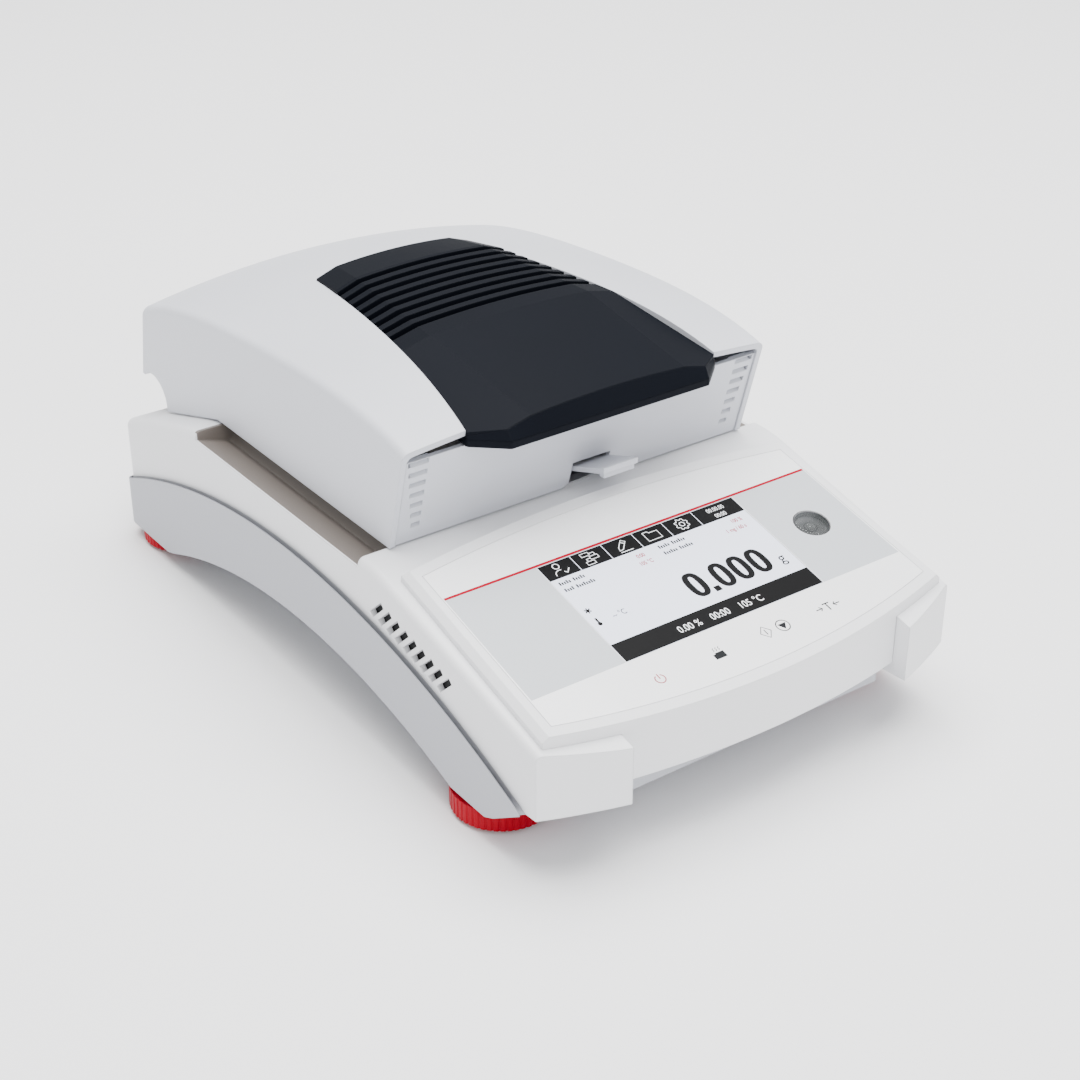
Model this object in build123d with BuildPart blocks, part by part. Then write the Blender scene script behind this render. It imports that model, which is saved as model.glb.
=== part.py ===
"""Halogen moisture analyzer: a weighing chamber under a hinged heating hood.

The origin lies on the table, under the middle of the base. +X points to the
right of the user, +Y to the rear and +Z up. All sizes are in millimetres.
"""

from build123d import *

import os
from math import cos, radians, sin, sqrt, tan

# Base shells: overall size, wall, and the two arcs that bound the side band
BASE_WIDTH = 206.0
BASE_DEPTH = 346.0
BASE_WALL = 2.6
DECK_Z = 83.5
SEAM_REAR_Z = 28.0
SEAM_CREST_Y = 14.0
SEAM_CREST_Z = 63.5
SEAM_FRONT_Y = -154.0
SEAM_FRONT_Z = 28.6
BELLY_REAR_Z = 4.5
BELLY_CREST_Y = 24.0
BELLY_CREST_Z = 35.0
BELLY_FRONT_Y = -118.0
BELLY_FRONT_Z = 14.0
CHIN_Y = -132.0
REAR_SLOPE_TOP_Y = 97.0
REAR_SLOPE_DROP = 24.0
REAR_ROUND = 16.0
REAR_OVERRUN = 0.2
PLAN_CORNER = 9.0
SHOULDER_ROUND = 3.0
DECK_ROUND = 70.0
SCOOP_FRONT_Y = -42.0
SCOOP_REAR_Y = 94.0
SCOOP_REACH = 19.0
SCOOP_Z = 75.0
SCOOP_LIP_Z = 79.8
VENTS = 9
VENT_FIRST = (-54.7, 66.2)
VENT_LAST = (-101.6, 56.4)
VENT_LENGTH = 11.5
VENT_WIDTH = 2.8
VENT_ANGLE = 137.0

# Corner blocks that wrap round the front of the base
BLOCK_INNER_X = 69.0
BLOCK_BOW_RADIUS = 243.0
BLOCK_BOTTOM_Z = 30.0
BLOCK_DEPTH = 16.0

# Control panel, measured down its slope from the rear edge of the film
PANEL_TILT = 13.4
PANEL_REAR_Y = -70.0
PANEL_REAR_Z = 84.4
RIM_HEIGHT = 5.0
RIM_HALF_REAR = 94.0
RIM_HALF_FRONT = 96.6
RIM_REAR_S = -4.2
RIM_REAR_APEX_S = -12.5
RIM_FRONT_S = 91.2
RIM_FRONT_APEX_S = 104.8
RIM_BEVEL = 2.6
RIM_SEAT = 6.0
PANEL_SKIN = 2.6
WALL_BOTTOM_Z = 35.0
FILM_HALF_REAR = 91.0
FILM_HALF_FRONT = 92.8
FILM_REAR_APEX_S = -7.0
FILM_FRONT_S = 87.8
FILM_FRONT_APEX_S = 99.4
FILM_THICKNESS = 0.5
FILM_GAP = 0.15
SCREEN_WIDTH = 99.0
SCREEN_HEIGHT = 58.5
SCREEN_X = 1.0
SCREEN_S = 44.8
SCREEN_GAP = 0.2
LCD_MARGIN = 4.0
LCD_DEPTH = 4.0
LEVEL_X = 70.9
LEVEL_S = 43.7
LEVEL_RADIUS = 8.0
LEVEL_DEPTH = 6.0
KEY_XS = (-43.0, -14.0, 14.0, 43.0)
KEY_NAMES = ("power", "heater", "start", "tare")
KEY_S = 86.5
KEY_RADIUS = 3.0
KEY_TRAVEL = 0.3
BOARD = 1.6

# Levelling feet
FOOT_X = 84.5
FOOT_FRONT_Y = -112.0
FOOT_REAR_Y = 151.5
PAD_RADIUS = 16.0
PAD_HEIGHT = 2.0
WHEEL_RADIUS = 20.5
WHEEL_HEIGHT = 9.0
WHEEL_TEETH = 48
TOOTH_DEPTH = 0.7
STUD_RADIUS = 4.0
STUD_LENGTH = 22.0
STUD_GAP = 0.06
WELL_GAP = 2.0
BOSS_RADIUS = 8.0
BOSS_TOP_Z = 38.0

# Inner posts, boards and sockets
WELL_TOP_Z = 13.0
NOSE_Y = -160.0
NOSE_Z = 24.0
BLOCK_GAP = 0.3
POST_RADIUS = 4.0
BOARD_POST_X = 62.0
BOARD_FRONT_Y = -126.0
BOARD_REAR_Y = -66.0
MAIN_BOARD_Z = 40.0
SUPPLY_POST_X = 40.0
SUPPLY_FRONT_Y = 112.0
SUPPLY_REAR_Y = 146.0
SUPPLY_Z = 30.0
CELL_POST_X = 24.0
CELL_POST_Y = 44.0
CELL_PLATE_Z = 40.0
INLET_X = -50.0
INLET_WIDTH = 28.0
INLET_HEIGHT = 20.0
SERIAL_X = 8.0
PORT_Z = 42.0
SERIAL_WIDTH = 19.0
SERIAL_HEIGHT = 11.0
USB_X = 48.0
USB_WIDTH = 13.0
USB_HEIGHT = 12.0

DISPLAY_POST_X = 57.0
DISPLAY_POST_REAR_S = 8.0
DISPLAY_POST_FRONT_S = 91.5
KEY_FOOT = 1.0
KEY_GAP = 0.08
SUPPLY_HEIGHT = 28.0
FLANGE = 3.0
FLANGE_SHEET = 1.5
INLET_DEPTH = 20.0
PIN_PITCH = 7.0
PIN_START = 7.0
TONGUE_START = 5.0

SCREW_RADIUS = 1.5
SCREW_HEAD = 3.2
SCREW_HEAD_HEIGHT = 2.0
SCREW_BITE = 7.0
HOUSING_BOSS_X = 77.0
HOUSING_BOSS_YS = (-30.0, 80.0)
HOUSING_BOSS_Z = 58.0
HOUSING_BOSS_WALL = 6.0
HOUSING_BOSS_RADIUS = 5.0

# Weighing chamber
CHAMBER_Y = 25.0
CHAMBER_RADIUS = 62.0
TRAY_SHEET = 0.8
TRAY_FLOOR_Z = 72.0
TRAY_FLANGE = 4.0
SPINDLE_HOLE = 9.0
SHIELD_RADIUS = 54.0
SHIELD_SHEET = 4.0
HANDLER_Z = 86.5
HANDLER_SHEET = 2.0
HANDLER_INNER = 45.2
GRIP_X = 7.0
GRIP_WIDTH = 17.5
GRIP_TIP_Y = -66.5
GRIP_TIP_Z = 102.0
GRIP_SHEET = 2.6
PAN_RADIUS = 44.5
PAN_RIM = 46.5
PAN_Z = 83.0
PAN_HEIGHT = 7.0
PAN_SHEET = 0.5
PAN_LIFT = 8.0
SPINDLE_RADIUS = 5.0
CELL_TOP_Z = 65.0
CELL_WIDTH = 30.0
CELL_LENGTH = 84.0
CELL_HEIGHT = 20.0
CELL_GAP = 0.4
CELL_SHEET = 3.0
CELL_FOOT = 24.0
TRAY_GAP = 0.3
ARM_SHEET = 2.0
SUPPORT_REACH = 36.0
GRIP_ROOT = 8.0

# Hood
HOOD_HALF = 90.0
HOOD_WALL = 2.6
HOOD_BOTTOM_Z = 84.5
HOOD_ROUND = 4.0
HOOD_STATIONS = (
    (-66.0, 127.2, 5.0),
    (-30.0, 135.0, 8.0),
    (20.0, 136.2, 10.8),
    (90.0, 131.0, 11.6),
    (174.0, 110.0, 9.0),
)
HOOD_FRONT_Y = -44.6
HOOD_FRONT_LEAN = 0.27
HOOD_REAR_Y = 171.5
HOOD_REAR_LEAN = 0.2
HOOD_REAR_BOTTOM_Z = 79.5
HOOD_HEEL_Y = 148.5
HINGE_Y = 161.0
HINGE_Z = 70.0
NOTCH_RADIUS = 12.5
FRONT_PANEL_SHEET = 2.4
FRONT_PANEL_INSET = 0.8
FRONT_PANEL_TOP_Z = 125.0
FRONT_PANEL_GAP = 0.2
NOTCH_LEFT_X = -2.6
NOTCH_TOP_Z = 96.6
NOTCH_FLARE = 2.0
LOUVRES = 7
LOUVRE_PITCH = 5.2
LOUVRE_HEIGHT = 2.2
LOUVRE_OUTER_TOP_X = 86.0
LOUVRE_OUTER_LEAN = 0.9
LOUVRE_INNER_X = 76.6
LOUVRE_TOP_Z = 123.5

# Vent cover let into the top of the hood
COVER_REAR_Y = 91.0
COVER_REAR_HALF = 40.0
COVER_FRONT_Y = -58.5
COVER_FRONT_HALF = 62.0
COVER_LIP_Y = -70.0
COVER_LIP_HALF = 49.0
COVER_LIP_Z = 126.2
COVER_LIP_THICKNESS = 3.0
COVER_GAP = 0.15
COVER_STATIONS = (
    (-67.0, 38.0, 136.3, 62.5, 130.3),
    (0.0, 40.0, 146.2, 53.6, 143.0),
    (69.0, 33.0, 147.0, 43.3, 143.4),
    (95.0, 29.0, 144.0, 39.4, 140.4),
)
COVER_CROWN = 1.6
COVER_DEPTH = 6.0
COVER_OVERRUN = 4.0
COVER_STEP = 2.0
COVER_LIP_DEPTH = 14.0
RIDGES = 7
RIDGE_REAR_Y = 68.6
RIDGE_FRONT_Y = 8.4
GROOVE_WIDTH = 4.0
GROOVE_DEPTH = 4.2
SLOT_WIDTH = 2.0

# Heater under the hood
HEATER_RADIUS = 58.0
HEATER_WALL = 1.2
HEATER_BOTTOM_Z = 99.0
HEATER_TOP_Z = 126.0
RETAINER_SHEET = 1.6
GLASS_RADIUS = 54.0
GLASS_THICKNESS = 3.0
LAMP_RING_RADIUS = 37.0
LAMP_TUBE_RADIUS = 4.5
LAMP_Z = 112.0
LID_BOSS_X = 66.0
LID_BOSS_Y = 46.0
REFLECTOR_INNER = 16.0
RETAINER_LIP = 5.0
ARM_X = 52.0
ARM_WIDTH = 11.4
ARM_SIDE_GAP = 0.3
LUG_WIDTH = 5.0
LUG_RADIUS = 7.0
LUG_FOOT_Y = 148.0
LUG_HEEL_Y = 161.0
KNUCKLE_RADIUS = 5.4
ARM_TOP_Z = 104.0
ARM_REACH = 12.0
ARM_WAIST_Z = 84.0
SENSOR_RADIUS = 0.7
SENSOR_LENGTH = 13.0
PIN_RADIUS = 3.0
PIN_GAP = 0.06

TILT = radians(PANEL_TILT)
HALF = BASE_WIDTH / 2
FRONT_Y = -BASE_DEPTH / 2
REAR_Y = BASE_DEPTH / 2
panel = Plane(
    origin=(0, PANEL_REAR_Y, PANEL_REAR_Z),
    x_dir=(1, 0, 0),
    z_dir=(0, -sin(TILT), cos(TILT)),
)
os.makedirs("parts", exist_ok=True)


def keep(name, part):
    """Label one finished piece and write it as the node of that name."""
    part.label = name
    export_step(part, f"parts/{name}.step")


def bow(apex_y, radius, x):
    """Y of a front wall that is bowed about the middle, at the given X."""
    return apex_y + radius - sqrt(radius**2 - x**2)


def deck_slope_z(y, sink=0.0):
    """Height of the sloping deck round the control panel, less a sink."""
    return PANEL_REAR_Z + (y - PANEL_REAR_Y) * tan(TILT) - (RIM_HEIGHT + sink) / cos(TILT)


BLOCK_APEX_Y = FRONT_Y - (bow(0, BLOCK_BOW_RADIUS, BLOCK_INNER_X))
DECK_FRONT_Y = PANEL_REAR_Y + (DECK_Z - deck_slope_z(PANEL_REAR_Y)) / tan(TILT)

SIDE_SEAM = ((REAR_Y, SEAM_REAR_Z), (SEAM_CREST_Y, SEAM_CREST_Z), (SEAM_FRONT_Y, SEAM_FRONT_Z))
BELLY = ((BELLY_FRONT_Y, BELLY_FRONT_Z), (BELLY_CREST_Y, BELLY_CREST_Z), (REAR_Y, BELLY_REAR_Z))


def belly_z(y):
    """Height of the floor of the base at the given Y, half way through its wall."""
    (y1, z1), (y2, z2), (y3, z3) = BELLY
    if y < y1:
        return z1 + BASE_WALL / 2
    side = ((z2 - z1) * (y3 - y2) - (z3 - z2) * (y2 - y1)) * 2
    sums = [a * a + b * b for a, b in BELLY]
    centre_y = (sums[0] * (z2 - z3) + sums[1] * (z3 - z1) + sums[2] * (z1 - z2)) / -side
    centre_z = (sums[0] * (y3 - y2) + sums[1] * (y1 - y3) + sums[2] * (y2 - y1)) / -side
    reach = sqrt((y1 - centre_y) ** 2 + (z1 - centre_z) ** 2)
    return centre_z + sqrt(reach**2 - (y - centre_y) ** 2) + BASE_WALL / 2


def base_plan(inset):
    """Plan outline of the base, moved inwards by the inset."""
    half = HALF - inset
    inner = BLOCK_INNER_X + inset
    apex = BLOCK_APEX_Y + inset
    corner_y = bow(apex, BLOCK_BOW_RADIUS, half)
    inner_y = bow(apex, BLOCK_BOW_RADIUS, inner)
    middle = (half + inner) / 2
    middle_y = bow(apex, BLOCK_BOW_RADIUS, middle)
    with BuildSketch() as plan:
        with BuildLine():
            ThreePointArc((half, corner_y), (middle, middle_y), (inner, inner_y))
            Line((inner, inner_y), (-inner, inner_y))
            ThreePointArc((-inner, inner_y), (-middle, middle_y), (-half, corner_y))
            Polyline((-half, corner_y), (-half, REAR_Y - inset), (half, REAR_Y - inset), (half, corner_y))
        make_face()
        fillet(plan.vertices().group_by(Axis.Y)[-1], PLAN_CORNER - inset)
    return plan.sketch


def rim_plan(grow, grow_front=0.0):
    """Plan outline of the raised rim, grown at the rear and sides, and in front."""
    rear_x = RIM_HALF_REAR + grow
    front_x = RIM_HALF_FRONT + grow
    rear_y = PANEL_REAR_Y - RIM_REAR_S * cos(TILT) + grow
    rear_apex_y = PANEL_REAR_Y - RIM_REAR_APEX_S * cos(TILT) + grow
    front_y = PANEL_REAR_Y - RIM_FRONT_S * cos(TILT) - grow_front
    front_apex_y = PANEL_REAR_Y - RIM_FRONT_APEX_S * cos(TILT) - grow_front
    with BuildSketch() as outline:
        with BuildLine():
            Line((rear_x, rear_y), (front_x, front_y))
            ThreePointArc((front_x, front_y), (0, front_apex_y), (-front_x, front_y))
            Line((-front_x, front_y), (-rear_x, rear_y))
            ThreePointArc((-rear_x, rear_y), (0, rear_apex_y), (rear_x, rear_y))
        make_face()
    return outline.sketch


def film_face(grow):
    """Outline of the control film in the panel plane, grown by a distance."""
    with BuildSketch() as outline:
        with BuildLine():
            rear = (FILM_HALF_REAR + grow, grow)
            front = (FILM_HALF_FRONT + grow, -FILM_FRONT_S - grow)
            Line(rear, front)
            ThreePointArc(front, (0, -FILM_FRONT_APEX_S - grow), (-front[0], front[1]))
            Line((-front[0], front[1]), (-rear[0], rear[1]))
            ThreePointArc((-rear[0], rear[1]), (0, -FILM_REAR_APEX_S + grow), rear)
        make_face()
    return outline.sketch


def foot_places(names):
    """Pair each name with the centre of its foot, front left first."""
    spots = [(x, y) for y in (FOOT_FRONT_Y, FOOT_REAR_Y) for x in (-FOOT_X, FOOT_X)]
    return list(zip(names, spots))


POSTS = (
    (BOARD_POST_X, (BOARD_FRONT_Y, BOARD_REAR_Y), MAIN_BOARD_Z),
    (SUPPLY_POST_X, (SUPPLY_FRONT_Y, SUPPLY_REAR_Y), SUPPLY_Z),
    (CELL_POST_X, (CHAMBER_Y - CELL_POST_Y, CHAMBER_Y + CELL_POST_Y), CELL_PLATE_Z),
)
FEET = foot_places(("front_left", "front_right", "rear_left", "rear_right"))

def deck_face(inset, floor_z):
    """Outline of the deck in (Y, Z), moved inwards, down to a level or to the seam."""
    rear = REAR_Y + REAR_OVERRUN - inset
    front = FRONT_Y - 1
    with BuildSketch() as side:
        with BuildLine():
            FilletPolyline(
                (rear, SEAM_REAR_Z),
                (rear, DECK_Z - REAR_SLOPE_DROP - inset),
                (REAR_SLOPE_TOP_Y, DECK_Z - inset),
                (DECK_FRONT_Y, DECK_Z - inset),
                (front, deck_slope_z(front, inset)),
                radius=[REAR_ROUND - inset, DECK_ROUND, DECK_ROUND],
            )
            Line((front, deck_slope_z(front, inset)), (front, BLOCK_BOTTOM_Z))
            if floor_z is None:
                Line((front, BLOCK_BOTTOM_Z), SIDE_SEAM[2])
                ThreePointArc(*SIDE_SEAM)
                Line(SIDE_SEAM[0], (rear, SEAM_REAR_Z))
            else:
                Polyline((front, BLOCK_BOTTOM_Z), (front, floor_z), (rear, floor_z), (rear, SEAM_REAR_Z))
        make_face()
    return side.sketch


# Inside of the upper housing
with BuildPart() as upper_void:
    with BuildSketch(Plane.YZ):
        add(deck_face(BASE_WALL, 0))
    extrude(amount=HALF, both=True)
    with BuildSketch():
        add(base_plan(BASE_WALL))
        with Locations((0, FRONT_Y)):
            Rectangle(2 * (BLOCK_INNER_X + BASE_WALL), 2 * BLOCK_DEPTH, mode=Mode.SUBTRACT)
    extrude(amount=2 * DECK_Z, mode=Mode.INTERSECT)
    for side in (-1, 1):
        with BuildSketch(Plane.XY.offset(SCOOP_Z - BASE_WALL)):
            with Locations((side * HALF, (SCOOP_FRONT_Y + SCOOP_REAR_Y) / 2)):
                Rectangle(2 * (SCOOP_REACH + BASE_WALL), SCOOP_REAR_Y - SCOOP_FRONT_Y + 2 * BASE_WALL)
        extrude(amount=DECK_Z, mode=Mode.SUBTRACT)

# Upper housing: deck, side walls and the two corner blocks
with BuildPart() as upper_housing:
    with BuildSketch(Plane.YZ):
        add(deck_face(0, None))
    extrude(amount=HALF + 1, both=True)
    with BuildSketch():
        add(base_plan(0))
    extrude(amount=2 * DECK_Z, mode=Mode.INTERSECT)
    long_edges = upper_housing.edges().filter_by(lambda edge: abs(abs(edge.center().X) - HALF) < 0.01)
    fillet(long_edges.filter_by(lambda edge: edge.center().Z > (DECK_Z + SEAM_CREST_Z) / 2), SHOULDER_ROUND)
    add(upper_void.part, mode=Mode.SUBTRACT)
    with BuildSketch():
        with Locations((0, FRONT_Y)):
            Rectangle(2 * BLOCK_INNER_X, 2 * BLOCK_DEPTH)
    extrude(amount=2 * DECK_Z, mode=Mode.SUBTRACT)
    with BuildSketch():
        add(rim_plan(-RIM_SEAT, -RIM_SEAT))
    extrude(amount=2 * DECK_Z, mode=Mode.SUBTRACT)
    with Locations((0, CHAMBER_Y, DECK_Z)):
        Cylinder(CHAMBER_RADIUS, 4 * BASE_WALL, mode=Mode.SUBTRACT)
    for side in (-1, 1):
        with BuildSketch(Plane.XZ.offset(-SCOOP_REAR_Y)):
            with BuildLine():
                inner_x = side * (HALF - SCOOP_REACH)
                Polyline(
                    (inner_x, 2 * DECK_Z),
                    (inner_x, SCOOP_Z + SHOULDER_ROUND),
                    (inner_x + side * SHOULDER_ROUND, SCOOP_Z),
                    (side * (HALF + 1), SCOOP_LIP_Z),
                    (side * (HALF + 1), 2 * DECK_Z),
                    (inner_x, 2 * DECK_Z),
                )
            make_face()
        extrude(amount=SCOOP_REAR_Y - SCOOP_FRONT_Y, mode=Mode.SUBTRACT)
    with BuildSketch(Plane.YZ) as side_vents:
        for index in range(VENTS):
            share = index / (VENTS - 1)
            vent_y = VENT_FIRST[0] + share * (VENT_LAST[0] - VENT_FIRST[0])
            vent_z = VENT_FIRST[1] + share * (VENT_LAST[1] - VENT_FIRST[1])
            with Locations((vent_y, vent_z)):
                Rectangle(VENT_LENGTH, VENT_WIDTH, rotation=VENT_ANGLE)
    extrude(amount=HALF + 1, both=True, mode=Mode.SUBTRACT)
    with BuildSketch(Plane.XZ.offset(-REAR_Y)):
        with Locations((INLET_X, PORT_Z)):
            Rectangle(INLET_WIDTH, INLET_HEIGHT)
        with Locations((SERIAL_X, PORT_Z)):
            Rectangle(SERIAL_WIDTH, SERIAL_HEIGHT)
        with Locations((USB_X, PORT_Z)):
            Rectangle(USB_WIDTH, USB_HEIGHT)
    extrude(amount=2 * BASE_WALL, mode=Mode.SUBTRACT)
    with BuildSketch(Plane.XZ.offset(-REAR_Y)):
        with Locations((INLET_X, PORT_Z)):
            RectangleRounded(INLET_WIDTH + 2 * FLANGE, INLET_HEIGHT + 2 * FLANGE, FLANGE)
        with Locations((SERIAL_X, PORT_Z)):
            RectangleRounded(SERIAL_WIDTH + 4 * FLANGE, SERIAL_HEIGHT + FLANGE, FLANGE / 2)
    extrude(amount=FLANGE_SHEET, mode=Mode.SUBTRACT)
    for boss_y in HOUSING_BOSS_YS:
        spots = [(-HOUSING_BOSS_X, boss_y), (HOUSING_BOSS_X, boss_y)]
        with BuildSketch(Plane.XY.offset(HOUSING_BOSS_Z)):
            with Locations(*spots):
                Circle(HOUSING_BOSS_RADIUS)
                Circle(SCREW_RADIUS, mode=Mode.SUBTRACT)
        extrude(amount=SCOOP_Z - HOUSING_BOSS_Z - SHOULDER_ROUND / 2)
        with BuildSketch(Plane.XY.offset(SCOOP_Z - SHOULDER_ROUND / 2)):
            with Locations(*spots):
                Circle(HOUSING_BOSS_RADIUS)
        extrude(amount=DECK_Z - SCOOP_Z + SHOULDER_ROUND / 2 - BASE_WALL / 2)
keep("upper_housing", upper_housing.part)

# Bottom housing: the darker band along the sides, the belly and the foot wells
with BuildPart() as bottom_housing:
    with BuildSketch(Plane.YZ):
        with BuildLine():
            ThreePointArc(*SIDE_SEAM)
            Polyline(SIDE_SEAM[2], (CHIN_Y, BELLY_FRONT_Z), (BELLY_FRONT_Y, BELLY_FRONT_Z))
            ThreePointArc(*BELLY)
            Line((REAR_Y, BELLY_REAR_Z), SIDE_SEAM[0])
        make_face()
    extrude(amount=HALF + 1, both=True)
    with BuildSketch():
        add(base_plan(0))
    extrude(amount=2 * DECK_Z, mode=Mode.INTERSECT)
    with BuildSketch(Plane.YZ):
        with BuildLine():
            top_z = 2 * DECK_Z
            front_y = SEAM_FRONT_Y + BASE_WALL
            rear_y = REAR_Y - BASE_WALL
            Polyline(
                (rear_y, top_z),
                (front_y, top_z),
                (front_y, SEAM_FRONT_Z),
                (CHIN_Y + BASE_WALL / 2, BELLY_FRONT_Z + BASE_WALL),
                (BELLY_FRONT_Y, BELLY_FRONT_Z + BASE_WALL),
            )
            ThreePointArc(
                (BELLY_FRONT_Y, BELLY_FRONT_Z + BASE_WALL),
                (BELLY_CREST_Y, BELLY_CREST_Z + BASE_WALL),
                (rear_y, BELLY_REAR_Z + BASE_WALL),
            )
            Line((rear_y, BELLY_REAR_Z + BASE_WALL), (rear_y, top_z))
        make_face()
    extrude(amount=HALF - BASE_WALL, both=True, mode=Mode.SUBTRACT)
    with BuildSketch(Plane.YZ):
        with BuildLine():
            Polyline(
                (CHIN_Y, BELLY_FRONT_Z),
                (CHIN_Y, BELLY_FRONT_Z + BASE_WALL),
                (NOSE_Y + BASE_WALL, NOSE_Z + BASE_WALL / 2),
                (NOSE_Y + BASE_WALL, WALL_BOTTOM_Z),
                (NOSE_Y, WALL_BOTTOM_Z),
                (NOSE_Y, NOSE_Z),
                (CHIN_Y, BELLY_FRONT_Z),
            )
        make_face()
    extrude(amount=BLOCK_INNER_X - BASE_WALL, both=True)
    with BuildSketch(Plane.YZ):
        with BuildLine():
            Polyline(
                (CHIN_Y + BASE_WALL, BELLY_FRONT_Z + BASE_WALL),
                (NOSE_Y + BASE_WALL, NOSE_Z + BASE_WALL / 2),
                (NOSE_Y + BASE_WALL, 2 * WALL_BOTTOM_Z),
                (CHIN_Y + BASE_WALL, 2 * WALL_BOTTOM_Z),
                (CHIN_Y + BASE_WALL, BELLY_FRONT_Z + BASE_WALL),
            )
        make_face()
    extrude(amount=BLOCK_INNER_X - 2 * BASE_WALL, both=True, mode=Mode.SUBTRACT)
    for _, (foot_x, foot_y) in FEET:
        roof_z = WELL_TOP_Z if foot_y > 0 else BELLY_FRONT_Z
        if foot_y > 0:
            with BuildSketch():
                add(base_plan(BASE_WALL / 2))
                with Locations((foot_x, foot_y)):
                    Circle(WHEEL_RADIUS + WELL_GAP + BASE_WALL, mode=Mode.INTERSECT)
            extrude(amount=WELL_TOP_Z + BASE_WALL)
            with BuildSketch():
                with Locations((foot_x, foot_y)):
                    Circle(WHEEL_RADIUS + WELL_GAP)
                corner = (foot_x + HALF if foot_x > 0 else foot_x - HALF, foot_y + HALF)
                with Locations(((foot_x + corner[0]) / 2, (foot_y + corner[1]) / 2)):
                    Rectangle(HALF, HALF)
            extrude(amount=WELL_TOP_Z, mode=Mode.SUBTRACT)
        with BuildSketch(Plane.XY.offset(roof_z)):
            with Locations((foot_x, foot_y)):
                Circle(BOSS_RADIUS)
        extrude(amount=BOSS_TOP_Z - roof_z)
        with BuildSketch():
            with Locations((foot_x, foot_y)):
                Circle(STUD_RADIUS + STUD_GAP)
        extrude(amount=DECK_Z, mode=Mode.SUBTRACT)
    for reach_x, spots_y, top_z in POSTS:
        for post_y in spots_y:
            with BuildSketch(Plane.XY.offset(belly_z(post_y))):
                with Locations((-reach_x, post_y), (reach_x, post_y)):
                    Circle(POST_RADIUS)
            extrude(amount=top_z - belly_z(post_y))
    for boss_y in HOUSING_BOSS_YS:
        spots = [(-HOUSING_BOSS_X, boss_y), (HOUSING_BOSS_X, boss_y)]
        with BuildSketch(Plane.XY.offset(belly_z(boss_y))):
            with Locations(*spots):
                Circle(HOUSING_BOSS_RADIUS)
        extrude(amount=HOUSING_BOSS_Z - belly_z(boss_y))
        with BuildSketch():
            with Locations(*spots):
                Circle(SCREW_HEAD + STUD_GAP)
        extrude(amount=HOUSING_BOSS_Z - HOUSING_BOSS_WALL, mode=Mode.SUBTRACT)
        with BuildSketch():
            with Locations(*spots):
                Circle(SCREW_RADIUS)
        extrude(amount=HOUSING_BOSS_Z, mode=Mode.SUBTRACT)
keep("bottom_housing", bottom_housing.part)

# Hollow behind the skin and the front wall of the display housing
with BuildPart() as display_void:
    with BuildSketch(Plane.XY.offset(WALL_BOTTOM_Z + PANEL_SKIN)):
        add(rim_plan(-PANEL_SKIN, -PANEL_SKIN))
    extrude(amount=DECK_Z)
    split(bisect_by=panel.offset(-PANEL_SKIN), keep=Keep.BOTTOM)

# Display housing: bevelled rim, bowed front wall and the skin under the film
with BuildPart() as display_housing:
    with BuildSketch():
        add(rim_plan(RIM_BEVEL))
    extrude(amount=2 * DECK_Z)
    split(bisect_by=panel, keep=Keep.BOTTOM)
    split(bisect_by=panel.offset(-RIM_HEIGHT), keep=Keep.TOP)
    top_face = display_housing.faces().sort_by(Axis((0, 0, 0), (0, -sin(TILT), cos(TILT))))[-1]
    chamfer(top_face.edges().sort_by(Axis.Y)[1:], RIM_BEVEL)
    with BuildSketch(Plane.XY.offset(WALL_BOTTOM_Z)):
        add(rim_plan(RIM_BEVEL))
        with Locations((0, FRONT_Y)):
            Rectangle(2 * (BLOCK_INNER_X - BLOCK_GAP), 2 * BLOCK_DEPTH, mode=Mode.INTERSECT)
    extrude(amount=deck_slope_z(FRONT_Y) - WALL_BOTTOM_Z + BASE_WALL)
    add(display_void.part, mode=Mode.SUBTRACT)
    with BuildSketch(panel.offset(-FILM_THICKNESS)):
        add(film_face(FILM_GAP))
    extrude(amount=FILM_THICKNESS, mode=Mode.SUBTRACT)
    with BuildSketch(panel):
        with Locations((SCREEN_X, -SCREEN_S)):
            Rectangle(SCREEN_WIDTH, SCREEN_HEIGHT)
        with Locations((LEVEL_X, -LEVEL_S)):
            Circle(LEVEL_RADIUS)
        with Locations(*[(x, -KEY_S) for x in KEY_XS]):
            Circle(KEY_RADIUS)
    extrude(amount=-2 * PANEL_SKIN, mode=Mode.SUBTRACT)
    for post_x in (-DISPLAY_POST_X, DISPLAY_POST_X):
        for post_s in (DISPLAY_POST_REAR_S, DISPLAY_POST_FRONT_S):
            with BuildSketch(panel.offset(-PANEL_SKIN)):
                with Locations((post_x, -post_s)):
                    Circle(POST_RADIUS / 2)
            extrude(amount=-LCD_DEPTH)
keep("display_housing", display_housing.part)

# Control film with its openings for the screen and the level
with BuildPart() as control_film:
    with BuildSketch(panel.offset(-FILM_THICKNESS)):
        add(film_face(0))
        with Locations((SCREEN_X, -SCREEN_S)):
            Rectangle(SCREEN_WIDTH, SCREEN_HEIGHT, mode=Mode.SUBTRACT)
        with Locations((LEVEL_X, -LEVEL_S)):
            Circle(LEVEL_RADIUS, mode=Mode.SUBTRACT)
    extrude(amount=FILM_THICKNESS)
keep("control_film", control_film.part)

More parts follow.
